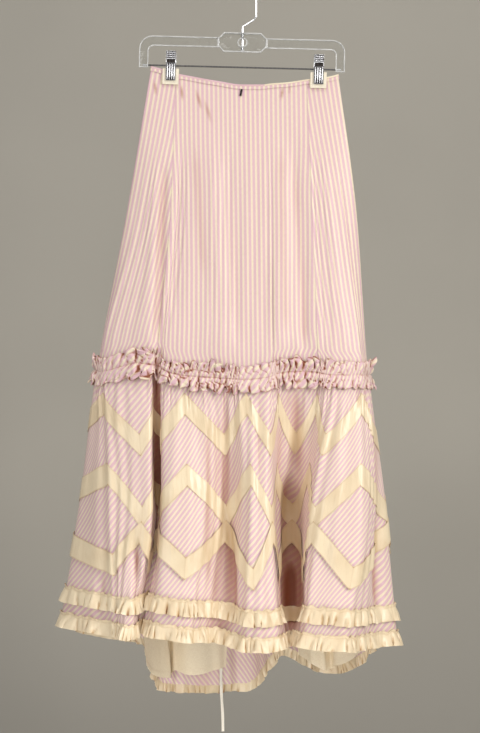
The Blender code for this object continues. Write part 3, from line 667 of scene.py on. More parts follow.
def painted_shades(points):
    """Painted shade: 1 in the darkest hollows of the front, less in shallow folds and creases, and 0
    elsewhere.
    """
    x, y, drop = points[..., 0], points[..., 1], -points[..., 2]
    dark = np.zeros(x.shape)
    for top_x, top, bottom_x, bottom, width, depth in PAINTED_SHADES:
        end = min(SHADE_END, (bottom - top) / 2)
        ends = fade(drop, top, top + end) * (1 - fade(drop, bottom - end, bottom))
        middle = top_x + (drop - top) / (bottom - top) * (bottom_x - top_x)
        dark = np.maximum(dark, depth * bump(x, middle, width) * ends)
    return dark * (y < 0)


def rows_between(top, bottom, spacing):
    """Rows of drops for each column, evenly from top to bottom, which hold a drop for each column."""
    count = max(2, round(float(np.max(bottom - top)) / spacing) + 1)
    return top[:, None] + np.linspace(0, 1, count)[None, :] * (bottom - top)[:, None]


def bias(lengths, drops, angle):
    """Places on cloth whose stripes rise to the right at an angle: across and along the stripes."""
    across = lengths * math.sin(angle) + drops * math.cos(angle)
    along = lengths * math.cos(angle) - drops * math.sin(angle)
    return np.stack([across, along], axis=-1)


FRONT_LENGTH = float(np.interp(FOLD_NAMES.index("middle_ridge"), MID_FOLDS, MID_LENGTHS))


def closed(values):
    """The array with its first column repeated at the end."""
    return np.concatenate([values, values[:1]])


def ring_lengths(columns, rows):
    """The cloth's length round the skirt, from the front's middle, for each point of a ring."""
    lengths = np.concatenate([columns.lengths, columns.lengths[:1] + MID_ROUND]) - FRONT_LENGTH
    return np.repeat(lengths[:, None], rows, axis=1)


# Materials


class Shading:
    """A new material and short ways to add its nodes."""

    def __init__(self, name):
        self.material = bpy.data.materials.new(f"look_{name}")
        self.material.use_nodes = True
        self.nodes = self.material.node_tree.nodes
        self.links = self.material.node_tree.links
        self.shader = self.nodes["Principled BSDF"]

    def constant(self, **values):
        """Sets the shader's own sockets: words are written with underscores."""
        for name, value in values.items():
            socket = name.replace("_", " ").title().replace("Ior", "IOR")
            self.shader.inputs[socket].default_value = value

    def feed(self, name, output):
        """Links an output to one of the shader's sockets."""
        self.links.new(output, self.shader.inputs[name])

    def put(self, socket, value):
        """Links another node's output to a socket, or sets the socket to a plain value."""
        if isinstance(value, bpy.types.NodeSocket):
            self.links.new(value, socket)
        elif socket.type == "RGBA":
            socket.default_value = (*value, 1.0)
        else:
            socket.default_value = value

    def math(self, operation, *values):
        """A sum, a product or a wave of values."""
        node = self.nodes.new("ShaderNodeMath")
        node.operation = operation
        for socket, value in zip(node.inputs, values):
            self.put(socket, value)
        return node.outputs[0]

    def mix(self, share, first, second):
        """The first colour with a share of the second."""
        node = self.nodes.new("ShaderNodeMix")
        node.data_type = "RGBA"
        node.clamp_result = True
        self.put(node.inputs[0], share)
        self.put(node.inputs[6], first)
        self.put(node.inputs[7], second)
        return node.outputs[2]

    def ramp(self, value, low, high, to_low=0.0, to_high=1.0):
        """A smooth step from to_low, where the value is low, to to_high, where it is high."""
        node = self.nodes.new("ShaderNodeMapRange")
        node.interpolation_type = "SMOOTHSTEP"
        for socket, item in zip(node.inputs, (value, low, high, to_low, to_high)):
            self.put(socket, item)
        return node.outputs[0]

    def stain(self, colour, value, low, high, share, tint):
        """The colour, with up to a share of the tint where the value rises from low to high."""
        return self.mix(self.ramp(value, low, high, 0.0, share), colour, tint)

    def axis(self, places, name):
        """One of the three numbers of each place."""
        node = self.nodes.new("ShaderNodeSeparateXYZ")
        self.links.new(places, node.inputs[0])
        return node.outputs[name]

    def scaled(self, places, scale):
        """The places, stretched along each axis."""
        node = self.nodes.new("ShaderNodeMapping")
        self.links.new(places, node.inputs["Vector"])
        node.inputs["Scale"].default_value = scale
        return node.outputs[0]

    def object_places(self, scale=(1.0, 1.0, 1.0)):
        """Places in the piece's own space, in metres."""
        return self.scaled(self.nodes.new("ShaderNodeTexCoord").outputs["Object"], scale)

    def cloth_places(self, across=1.0, along=1.0):
        """Places on the flat cloth, in metres."""
        source = self.nodes.new("ShaderNodeUVMap")
        source.uv_map = "cloth"
        return self.scaled(source.outputs[0], (across, along, 1.0))

    def noise(self, places, scale, detail):
        """Soft uneven patches."""
        node = self.nodes.new("ShaderNodeTexNoise")
        self.links.new(places, node.inputs["Vector"])
        node.inputs["Scale"].default_value = scale
        node.inputs["Detail"].default_value = detail
        return node.outputs["Fac"]

    def grain(self, scale, detail, stretch=(1.0, 1.0, 1.0)):
        """Patches in the piece's own space: how many there are to a metre."""
        return self.noise(self.object_places(stretch), scale, detail)

    def threads(self, across, along, detail=2.0):
        """Fine lines on the flat cloth: how many there are to a metre each way."""
        return self.noise(self.cloth_places(across, along), 1.0, detail)

    def attribute(self, name):
        """A value that the mesh holds at its points."""
        node = self.nodes.new("ShaderNodeAttribute")
        node.attribute_name = name
        return node.outputs["Fac"]

    def relief(self, height, distance, strength, under=None):
        """Small bumps, over those of another relief if there is one."""
        node = self.nodes.new("ShaderNodeBump")
        node.inputs["Distance"].default_value = distance
        node.inputs["Strength"].default_value = strength
        self.links.new(height, node.inputs["Height"])
        if under is not None:
            self.links.new(under, node.inputs["Normal"])
        return node.outputs[0]


def striped_silk(settings, name):
    """Pink and cream stripes of fine threads, with soft dents, and painted shade that darkens the folds."""
    look = Shading(name)
    wander = look.math("MULTIPLY", look.threads(20.0, 3.0, 1.0), 0.5)
    turns = look.math("DIVIDE", look.axis(look.cloth_places(), "X"), settings.stripe_pitch)
    wave = look.math("SINE", look.math("ADD", look.math("MULTIPLY", turns, 2 * math.pi), wander))
    weave = look.threads(2600.0, 160.0)
    depth = look.attribute("painted_shade_and_stitches")
    colour = look.mix(look.ramp(wave, -0.75, 0.35), settings.stripe_cream, settings.stripe_pink)
    colour = look.stain(colour, weave, 0.3, 0.7, 0.16, settings.weave_and_fold_shade)
    patches = look.grain(7.0, 2.0, (1.0, 1.0, 0.6))
    colour = look.stain(colour, patches, 0.45, 0.75, 0.10, settings.stripe_pink)
    # Painted shade: reddish brown in the folds and a deep brown shadow in the deepest hollows
    colour = look.stain(colour, depth, 0.06, 0.75, 0.85, settings.weave_and_fold_shade)
    look.feed("Base Color", look.stain(colour, depth, 0.5, 0.9, 0.92, DEEP_FOLD_SHADOW))
    look.constant(roughness=0.46, specular_ior_level=0.4, sheen_weight=0.15, sheen_roughness=0.35)
    bumps = look.relief(look.grain(42.0, 3.0, (1.0, 1.0, 0.45)), 0.0016, 0.6)
    bumps = look.relief(look.grain(13.0, 2.0, (1.0, 1.0, 0.5)), 0.006, 0.5, bumps)
    look.feed("Normal", look.relief(weave, 0.00012, 0.35, bumps))
    return look.material


def cream_satin(settings, name):
    """Satin with a brushed sheen along its strips, small puckers, and painted shade in the puckers' hollows
    and the folds.
    """
    look = Shading(name)
    shade = settings.satin_shade
    weave = look.threads(300.0, 3200.0)
    puckers = look.threads(95.0, 18.0)
    depth = look.attribute("painted_shade_and_stitches")
    colour = look.stain(settings.satin_colour, weave, 0.3, 0.75, 0.12, shade)
    colour = look.stain(colour, look.grain(30.0, 3.0), 0.5, 0.8, 0.14, shade)
    colour = look.stain(colour, look.grain(11.0, 2.0), 0.42, 0.7, 0.22, shade)
    # Painted shade: darker in the puckers' hollows and the folds, and deep brown in the deepest hollows
    colour = look.stain(colour, puckers, 0.5, 0.25, 0.2, shade)
    colour = look.stain(colour, depth, 0.06, 0.7, 0.9, shade)
    look.feed("Base Color", look.stain(colour, depth, 0.6, 0.95, 0.85, DEEP_FOLD_SHADOW))
    look.constant(roughness=0.3, anisotropic=0.4, specular_ior_level=0.55)
    tangent = look.nodes.new("ShaderNodeTangent")
    tangent.direction_type = "UV_MAP"
    tangent.uv_map = "cloth"
    look.feed("Tangent", tangent.outputs[0])
    bumps = look.relief(look.grain(90.0, 3.0, (1.0, 1.0, 0.6)), 0.0009, 0.5)
    bumps = look.relief(puckers, 0.0026, 0.7, bumps)
    look.feed("Normal", look.relief(weave, 0.00008, 0.3, bumps))
    return look.material


def cotton(settings, name):
    """Plain cotton of crossing threads, for the lining and the tape."""
    look = Shading(name)
    plain = settings.lining_colour if name == "cotton_lining" else settings.tape_colour
    weave = look.math("ADD", look.threads(1800.0, 220.0), look.threads(220.0, 1800.0))
    depth = look.ramp(look.attribute("painted_shade_and_stitches"), 0.0, 1.0)
    share = look.math("ADD", look.ramp(weave, 0.75, 1.25, 0.0, 0.2), depth)
    look.feed("Base Color", look.mix(share, plain, settings.satin_shade))
    look.constant(roughness=0.85, specular_ior_level=0.25, sheen_weight=0.2)
    bumps = look.relief(look.grain(55.0, 3.0, (1.0, 1.0, 0.45)), 0.0014, 0.6)
    look.feed("Normal", look.relief(weave, 0.0002, 0.5, bumps))
    return look.material


def backdrop_paint(settings, name):
    """Matt paint with painted shade that darkens it towards the floor, clear from behind."""
    look = Shading(name)
    plain = tuple(settings.backdrop_colour)
    shade, dark = (tuple(share * part for part in plain) for share in (BACKDROP_GRAIN, BACKDROP_LOW_SHADE))
    colour = look.stain(plain, look.grain(2.0, 2.0), 0.3, 0.7, 1.0, shade)
    height = look.axis(look.object_places(), "Z")
    # Painted shade: darker towards the floor, where less light falls
    look.feed("Base Color", look.stain(colour, height, *BACKDROP_SHADE_HEIGHTS, 1.0, dark))
    look.constant(roughness=0.9, specular_ior_level=0.15)
    side = look.nodes.new("ShaderNodeNewGeometry")
    clear = look.nodes.new("ShaderNodeBsdfTransparent")
    both = look.nodes.new("ShaderNodeMixShader")
    outputs = (side.outputs["Backfacing"], look.shader.outputs[0], clear.outputs[0])
    for socket, output in zip(both.inputs, outputs):
        look.links.new(output, socket)
    look.links.new(both.outputs[0], look.nodes["Material Output"].inputs["Surface"])
    return look.material


SOFT_FINISHES = {
    "striped_silk": striped_silk,
    "cream_satin": cream_satin,
    "cotton_lining": cotton,
    "cotton_tape": cotton,
    "backdrop_paint": backdrop_paint,
}
HARD_FINISHES = {
    # name: grain, where wear starts and ends and its share, fresh and worn colours,
    # the shader's own values, range of roughness, relief
    "clear_plastic": (
        (140.0, 3.0), (0.5, 0.8, 1.0), (0.97, 0.98, 0.97), (0.90, 0.91, 0.90),
        {"ior": 1.49, "transmission_weight": 1.0}, (0.5, 0.8, 0.02, 0.10), None),
    "clear_rim": (
        (90.0, 3.0), (0.4, 0.7, 1.0), (0.90, 0.91, 0.90), (0.72, 0.73, 0.72),
        {"ior": 1.45, "transmission_weight": 0.5, "roughness": 0.25}, None, None),
    "chrome": (
        (180.0, 4.0), (0.5, 0.75, 0.5), (0.86, 0.87, 0.90), (0.62, 0.62, 0.64),
        {"metallic": 1.0}, (0.35, 0.75, 0.12, 0.26), None),
    "grey_wire": (
        (60.0, 3.0, (8.0, 1.0, 1.0)), (0.4, 0.7, 1.0), (0.13, 0.13, 0.13), (0.22, 0.215, 0.21),
        {"metallic": 1.0, "roughness": 0.34}, None, None),
    "cream_card": (
        (240.0, 4.0, (1.0, 1.0, 2.5)), (0.4, 0.75, 0.4), (0.84, 0.77, 0.62), (0.66, 0.57, 0.42),
        {"roughness": 0.75, "specular_ior_level": 0.3}, None, (0.0003, 0.5)),
    # The waist hook's dark metal, and the painted shade of the clips' grooves and slot
    "dark_metal": (
        (400.0, 3.0), (0.45, 0.8, 1.0), (0.035, 0.03, 0.03), (0.12, 0.10, 0.09),
        {"metallic": 0.8, "roughness": 0.42}, None, None),
}


def hard_finish(name):
    """A hard material with fine wear in its colour."""
    grain, wear, fresh, worn, own, roughness, relief = HARD_FINISHES[name]
    look = Shading(name)
    specks = look.grain(*grain)
    look.feed("Base Color", look.stain(fresh, specks, *wear, worn))
    look.constant(**own)
    if roughness:
        look.feed("Roughness", look.ramp(specks, *roughness))
    if relief:
        look.feed("Normal", look.relief(specks, *relief))
    return look.material


def finish_of(settings, name):
    """The named material, made the first time that it is asked for."""
    found = bpy.data.materials.get(f"look_{name}")
    if found:
        return found
    if name in HARD_FINISHES:
        return hard_finish(name)
    return SOFT_FINISHES[name](settings, name)


# Cloth pieces


def stand_for(obj, node):
    """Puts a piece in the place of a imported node."""
    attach(obj, "root")
    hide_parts(node)


def declare(obj, node, slot, width, length, area, held="hung"):
    """A piece that stands for a node."""
    stand_for(obj, node)


def cloth_area(points):
    """The area of a grid of points, in square metres."""
    across = np.diff(points, axis=0)[:, :-1]
    down = np.diff(points, axis=1)[:-1]
    return float(np.linalg.norm(np.cross(across, down), axis=2).sum()) * MM * MM


def flat_size(points):
    """The flat cloth's width and length, in millimetres, and its area in square metres."""
    width = float(np.linalg.norm(np.diff(points, axis=0), axis=2).sum(axis=0).max())
    length = float(np.linalg.norm(np.diff(points, axis=1), axis=2).sum(axis=1).max())
    whole = width * length * MM * MM
    return width, length, max(min(cloth_area(points), whole), LEAST_FILL * whole)


def cloth_piece(name, columns, drops, layer, flat, slot, settings, ring=False, lines=0.0):
    """A shell on the columns' own surface, between the layer's inner and outer face.

    lines is as deep as a fold where a seam or a line of stitches darkens the cloth.
    """
    inner, outer = columns.place(drops, layer[0]), columns.place(drops, layer[1])
    base = closed(inner) if ring else inner
    # Painted shade in the folds and hollows, with the seam and stitch lines
    depth = np.maximum(np.maximum(hidden_depth(base), painted_shades(base)), lines)
    obj = shell(f"{name}_cloth", outer, inner, flat, depth, finish_of(settings, slot), ring)
    declare(obj, name, slot, *flat_size(base))
    return obj


def middle_column(columns, fold_name):
    """The column that runs down a fold."""
    place = FOLD_NAMES.index(fold_name)
    if place < columns.folds[0]:
        place += FOLD_COUNT
    return int(np.abs(columns.folds - place).argmin())


def make_gores(settings):
    """The close-fitting upper skirt, in four gores whose stripes run down their middles."""
    for side, first, last, middle in PANELS:
        columns = panel_columns(first, last, settings.cloth_spacing / MM, (SEAM_TRIM, SEAM_TRIM))
        drops = rows_between(columns.waist, columns.knee - SEAM_TRIM, ROW_SPACING)
        lengths = lengths_across(columns.place(drops, np.mean(GORE_LAYER)))
        flat = np.stack([lengths - lengths[middle_column(columns, middle)], drops], axis=-1)
        cloth_piece(f"gore_{side}", columns, drops, GORE_LAYER, flat, "striped_silk", settings)


def make_binding(settings):
    """The facing round the waist: its upper edge is pink on the left and cream on the right."""
    columns = ring_columns(settings.cloth_spacing / MM)
    drops = columns.waist[:, None] + BINDING_HEIGHT * BINDING_ROWS[None, :]
    points = closed(columns.place(drops, BINDING_LAYER[1]))
    lengths = lengths_across(points)
    lengths -= lengths[middle_column(columns, "middle_ridge")]
    pink = points[:, :BINDING_EDGE_ROWS, 0] < BINDING_CHANGE_X
    lengths[:, :BINDING_EDGE_ROWS] = np.where(pink, PINK_PLACE, CREAM_PLACE) * settings.stripe_pitch / MM
    lines = np.zeros(lengths.shape)
    lines[:, BINDING_EDGE_ROWS] = STITCH_DEPTH
    flat = np.stack([lengths, closed(drops)], axis=-1)
    cloth_piece("waist_binding", columns, drops, BINDING_LAYER, flat, "striped_silk", settings, True, lines)


def make_flounce(settings):
    """The gathered under-flounce, cut on the bias."""
    for side, first, last, _ in PANELS:
        columns = panel_columns(first, last, settings.cloth_spacing / MM, (SEAM_TRIM, SEAM_TRIM))
        drops = rows_between(columns.knee + SEAM_TRIM, columns.hem - FLOUNCE_HEM_RISE, ROW_SPACING)
        lengths = np.repeat(columns.lengths[:, None] - FRONT_LENGTH, drops.shape[1], axis=1)
        flat = bias(TIER_FULLNESS * lengths, drops, BIAS)
        cloth_piece(f"flounce_{side}", columns, drops, GORE_LAYER, flat, "striped_silk", settings)


def make_overlay(settings):
    """The pointed tier over the flounce, cut on the bias."""
    columns = ring_columns(settings.cloth_spacing / MM)
    drops = rows_between(columns.knee + SEAM_TRIM, columns.tier_hem, ROW_SPACING)
    flat = bias(TIER_FULLNESS * ring_lengths(columns, drops.shape[1]), closed(drops), BIAS)
    cloth_piece("overlay", columns, drops, OVERLAY_LAYER, flat, "striped_silk", settings, True)


def make_bands(settings):
    """Satin bands in zigzags on the pointed tier. The one on its edge lies over the one above it."""
    columns = ring_columns(settings.cloth_spacing / MM)
    tops = {name: columns.edge(*drops) for name, drops in BANDS.items()}
    tops["band_edge"] = columns.tier_hem - BAND_DEPTH
    mitres = MITRE_DEPTH * np.isin(columns.folds, ZIGZAG_FOLDS)[:, None]
    stitches = STITCH_DEPTH * (np.abs(BAND_ROWS - 0.5) > BAND_STITCH)[None, :]
    lines = closed(mitres + stitches)
    for name, top in tops.items():
        layer = EDGE_BAND_LAYER if name == "band_edge" else BAND_LAYER
        drops = top[:, None] + BAND_DEPTH * BAND_ROWS[None, :]
        flat = np.stack([ring_lengths(columns, len(BAND_ROWS)), closed(drops - top[:, None])], axis=-1)
        cloth_piece(name, columns, drops, layer, flat, "cream_satin", settings, True, lines)


def room_outside(points, spacing, reach=9.0):
    """How far cloth can stand out from each of a ring's columns before it crosses itself in a hollow."""
    step = max(1, round(reach / spacing))
    ahead, behind = np.roll(points, -step, axis=0)[:, :2], np.roll(points, step, axis=0)[:, :2]
    chord = ahead - behind
    out = np.stack([chord[:, 1], -chord[:, 0]], axis=1)
    out /= np.maximum(np.linalg.norm(out, axis=1, keepdims=True), 1e-6)
    sunk = np.sum(((ahead + behind) / 2 - points[:, :2]) * out, axis=1)
    radius = reach**2 / 2 / np.maximum(sunk, 0.5)
    low = np.min([np.roll(radius, k) for k in range(-step, step + 1)], axis=0)
    return np.mean([np.roll(low, k) for k in range(-step, step + 1)], axis=0)


def gathered_piece(
        name, slot, settings, columns, drops, out, sideways, wall, spacing, angle, edges, shading):
    """A ruffle round the skirt, between its out array and one wall further, with its cloth cut at an angle.

    edges is as deep as a fold along the ruffle's edges and lines of stitches, and shading the depth, in
    millimetres, of a gather that its painted shade makes fully dark.
    """
    base = columns.place(drops[:, :1], 0.0)[:, 0]
    room = room_outside(base, spacing)[:, None]
    out = np.minimum(out, np.maximum(room, out.min(axis=0)[None, :]))
    inner, outer = columns.place(drops, out, sideways), columns.place(drops, out + wall, sideways)
    around = [np.roll(out, k, axis=0) for k in (-4, -2, 2, 4)]
    padded = np.pad(out, ((0, 0), (2, 2)), mode="edge")
    around += [padded[:, :-4], padded[:, 4:]]
    # Painted shade where a gather lies below the cloth beside it and deep in the skirt's folds, with the
    # dark edge and stitch lines
    crease = closed(np.clip((np.mean(around, axis=0) - out) / shading, 0, 1))
    depth = np.maximum(np.maximum(crease, 0.7 * hidden_depth(closed(inner))), edges)
    flat = bias(ring_lengths(columns, drops.shape[1]), closed(drops), angle)
    obj = shell(f"{name}_cloth", outer, inner, flat, depth, finish_of(settings, slot), ring=True)
    declare(obj, name, slot, *flat_size(closed(inner)), held="gathered")


def loops(phase, share):
    """How far along the cloth a ruffle's edge swings, so that its waves stand in loops."""
    return share * np.sin(phase) + 0.5 * share * np.sin(2 * phase)


def crumpled(lengths, heights, size, seed, count=7):
    """Sharp creases and round puffs in all directions, from 0 in a crease to about 1."""
    rng = np.random.default_rng(seed)
    total = np.zeros(np.broadcast(lengths, heights).shape)
    for _ in range(count):
        rounds = round(MID_ROUND / size * rng.uniform(0.5, 1.3))
        steep = rng.uniform(-1, 1) * 2 * math.pi / size
        total += np.cos(2 * math.pi * rounds * lengths / MID_ROUND + steep * heights + rng.uniform(0, 6.3))
    return np.minimum(np.abs(total) / math.sqrt(count), 1.6)


def make_ruche(settings):
    """The puffed heading over the seam: a strip gathered along its middle, with crumpled edges."""
    columns = ring_columns(RUCHE_SPACING, level=2)
    rises = np.linspace(-1, 1, RUCHE_ROWS)[None, :]
    far = np.abs(rises)
    knee = columns.place(columns.knee[:, None], 0.0)[:, 0]
    calm = 0
    for low, high in RUCHE_CALM:
        start, end = low - RUCHE_CALM_END, high + RUCHE_CALM_END
        calm += fade(knee[:, 0], start, low) * (1 - fade(knee[:, 0], high, end))
    lively = 1 - RUCHE_CALM_SHARE * np.where(knee[:, 1] < 0, calm, 0)[:, None]
    phases = [uneven_phase(columns.lengths, count, SEED + 2 + k, wander)[:, None]
              for k, (count, wander) in enumerate(RUCHE_WAVES)]
    upper, lower, slow = phases
    phase = np.where(rises < 0, upper, lower)
    swell = (1 + np.cos(slow)) / 2
    leaning = phase + RUCHE_LEAN * far * np.sin(slow + 1)
    ridge = (1 + np.cos(leaning)) / 2
    crumple, fine = (crumpled(columns.lengths[:, None], RUCHE_HALF_HEIGHT * rises, size, SEED + 31 + k)
                     for k, size in enumerate(RUCHE_CRUMPLES))
    puff = np.sin(math.pi * far) ** 0.6
    (puff_out, puff_more), (wave_out, wave_more) = RUCHE_PUFF_OUT, RUCHE_WAVE_OUT
    out = RUCHE_INNER + puff * (puff_out + puff_more * swell)
    out = out + far**0.7 * ridge * lively * (wave_out + wave_more * swell)
    dents = RUCHE_CRUMPLE_OUT[0] * crumple + RUCHE_CRUMPLE_OUT[1] * fine
    out += dents * lively * (0.25 + 0.75 * far**0.6) - RUCHE_STITCH_IN * (1 - far) ** 4
    sideways = loops(leaning, RUCHE_LOOP * far**1.2 * lively * (0.5 + 0.6 * swell))
    sideways += RUCHE_PUSH * (crumple - USUAL_CRUMPLE) * far * lively
    rough = np.sin(slow * 1.7) + crumple - USUAL_CRUMPLE
    wander = RUCHE_WANDER[0] * np.cos(leaning + 0.6) + RUCHE_WANDER[1] * rough
    drops = columns.knee[:, None] + RUCHE_HALF_HEIGHT * rises * (1 + lively * far * wander)
    # Painted shade along the crumpled creases, dark edge lines that are partly painted shade and partly the
    # picked edges, and a stitch line along the middle
    deep = 1 - fade(crumple, 0.02, RUCHE_CREASE)
    shallow = 1 - fade(fine, 0.0, RUCHE_CREASE / 2)
    thin = RUCHE_CREASE_SHADES[0] * deep + RUCHE_CREASE_SHADES[1] * shallow
    edge_depth, stitch_depth = RUCHE_EDGE_SHADE_AND_STITCH
    edges = edge_depth * (far > 0.95) + stitch_depth * bump(rises, 0, 0.05)
    edges = closed(np.maximum(edges, thin * (0.4 + 0.6 * lively) * (0.6 + 0.4 * swell)))
    gathered_piece("ruche", "striped_silk", settings, columns, drops, out, sideways, RUCHE_WALL,
                   RUCHE_SPACING, RUCHE_BIAS, edges, RUCHE_SHADING)


def make_frills(settings):
    """Two gathered satin frills near the hem, each with a stitched heading."""
    for number, (name, (top_rise, hem_rise)) in enumerate(FRILLS.items()):
        columns = ring_columns(FRILL_SPACING, level=4)
        shares = FRILL_ROWS[None, :]
        phase = uneven_phase(columns.lengths, FRILL_WAVES, SEED + 9 + number, 3.2)[:, None]
        slow = uneven_phase(columns.lengths, FRILL_SWELLS, SEED + 12 + number, 2.0)[:, None]
        pleat = uneven_waves(columns.lengths, FRILL_PLEATS, SEED + 14 + number, 3.0)[:, None]
        coarse = (1 + np.cos(slow)) / 2
        down = (top_rise - hem_rise) * shares
        fine = crumpled(columns.lengths[:, None], down * 0.6, FRILL_CRUMPLE, SEED + 41 + number)
        wander = FRILL_WANDER[0] * np.sin(phase * 0.5 + slow) + FRILL_WANDER[1] * (1 - fine)
        hem = columns.hem[:, None]
        drops = np.minimum(hem - top_rise + down + wander * (1.0 - 0.7 * shares), hem)
        drops -= FRILL_LIFT * shares**4 * (1 + np.cos(slow + 1.5)) / 2
        heading = np.clip((STITCH_SHARE - shares) / STITCH_SHARE, 0, 1)
        skirt = np.clip((shares - STITCH_SHARE) / (1 - STITCH_SHARE), 0, 1)
        leaning = phase + FRILL_LEAN * shares * np.sin(slow + 2)
        ridge = ((1 + np.cos(leaning)) / 2) ** 0.8
        (head_out, head_more), (wave_out, wave_more) = FRILL_HEADING_OUT, FRILL_WAVE_OUT
        out = FRILL_INNER + heading * (head_out + head_more * pleat)
        out = out + skirt**0.6 * ridge * (wave_out + wave_more * coarse)
        out += skirt**1.1 * FRILL_SWELL_OUT * coarse + pleat * skirt**0.3 * (1 - 0.75 * skirt)
        out += FRILL_CRUMPLE_OUT * fine * skirt**0.5
        sideways = loops(leaning, FRILL_LOOP * skirt * (0.4 + 0.6 * coarse))
        stitch_depth, edge_depth = FRILL_LINE_DEPTHS
        edges = stitch_depth * (np.abs(shares - STITCH_SHARE) < 0.03) + edge_depth * (shares < 0.02)
        gathered_piece(name, "cream_satin", settings, columns, drops, out, sideways, FRILL_WALL,
                       FRILL_SPACING, math.pi / 2, edges, FRILL_SHADING)


def make_train_lining(settings):
    """Cotton lining that stands loose inside the train, where the long back hem lets it show."""
    for side, first, last, (trim_first, trim_last), (rise_first, rise_last), loose, flap in LININGS:
        columns = panel_columns(first, last, settings.cloth_spacing / MM, (trim_first, trim_last))
        top = (columns.edge(*BANDS["band_middle"]) + BAND_DEPTH + columns.tier_hem) / 2
        across = np.linspace(0, 1, len(columns.folds))
        rise = rise_first + (rise_last - rise_first) * fade(across, 0.4, 0.5)
        rise = rise - LINING_SAG * np.sin(2 * math.pi * across) ** 2
        bottom = columns.hem - rise
        drops = rows_between(top, bottom, ROW_SPACING)
        down = fade(drops, top[:, None] + 40, bottom[:, None])
        folds = 0.6 + 0.4 * np.cos(2 * math.pi * (2.5 * across[:, None] + 0.2 * down))
        ends = fade(across, 0, 0.2) * (1 - 0.85 * fade(across, 0.7, 0.95))
        away = -loose * down * folds * ends[:, None]
        inner, outer = (columns.place(drops, layer + away) for layer in LINING_LAYER)
        lower = flap * down * fade(across, 0.6, 0.95)[:, None]
        inner[..., 2] -= lower
        outer[..., 2] -= lower
        lengths = np.repeat(columns.lengths[:, None], drops.shape[1], axis=1)
        flat = np.stack([lengths, drops], axis=-1)
        hem_line = 0.25 * bump(bottom[:, None] - drops, LINING_HEM_LINE, 3)
        finish = finish_of(settings, "cotton_lining")
        obj = shell(f"train_lining_{side}_cloth", outer, inner, flat, hem_line, finish)
        declare(obj, f"train_lining_{side}", "cotton_lining", *flat_size(inner))


def smooth_route(route, spacing):
    """Points at an even spacing along a smooth curve through the route's own points."""
    points = np.array(route, float)
    padded = np.concatenate([2 * points[:1] - points[1:2], points, 2 * points[-1:] - points[-2:-1]])
    fine = []
    for a, b, c, d in zip(padded, padded[1:], padded[2:], padded[3:]):
        for t in np.linspace(0, 1, 20, endpoint=False):
            fine.append(hermite(b, c, (c - a) / 2, (d - b) / 2, t))
    fine = np.array([*fine, points[-1]])
    lengths = np.concatenate([[0], np.cumsum(np.linalg.norm(np.diff(fine, axis=0), axis=1))])
    places = np.linspace(0, lengths[-1], max(2, round(lengths[-1] / spacing)) + 1)
    return np.stack([np.interp(places, lengths, fine[:, axis]) for axis in range(3)], axis=1)


def make_tape(settings):
    """The narrow tape that hangs from inside the train."""
    line = smooth_route(TAPE_ROUTE, TAPE_SPACING)
    turn = TAPE_SWAY * np.sin(TAPE_SWAYS * np.linspace(0, 1, len(line)))
    level = np.zeros(len(line))
    across = np.stack([np.cos(turn), np.sin(turn), level], axis=1)
    out = np.stack([np.sin(turn), -np.cos(turn), level], axis=1)
    sides = np.linspace(-0.5, 0.5, TAPE_COLUMNS)[:, None, None] * TAPE_WIDTH
    middle = line[None] + across[None] * sides
    outer, inner = middle + out[None] * TAPE_WALL / 2, middle - out[None] * TAPE_WALL / 2
    drops = np.repeat(-line[None, :, 2], TAPE_COLUMNS, axis=0)
    flat = np.stack([np.repeat(sides[:, :, 0], len(line), axis=1), drops], axis=-1)
    finish = finish_of(settings, "cotton_tape")
    obj = shell("train_tape_cloth", outer, inner, flat, np.zeros(drops.shape), finish)
    stand_for(obj, "train_tape")


# Hanger


CARRIED_NODES = {
    # finish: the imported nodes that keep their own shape
    "chrome": (
        "hanger_hook",
        "clip_left_front_jaw",
        "clip_left_back_jaw",
        "clip_left_spring",
        "clip_right_front_jaw",
        "clip_right_back_jaw",
        "clip_right_spring",
    ),
    "grey_wire": ("hanger_rod",),
    "cream_card": (
        "clip_left_front_pad",
        "clip_left_back_pad",
        "clip_right_front_pad",
        "clip_right_back_pad",
    ),
    "dark_metal": ("waist_hook",),
}


def select_only(obj):
    """Selects one object and makes it the active one."""
    bpy.ops.object.select_all(action="DESELECT")
    obj.select_set(True)
    bpy.context.view_layer.objects.active = obj


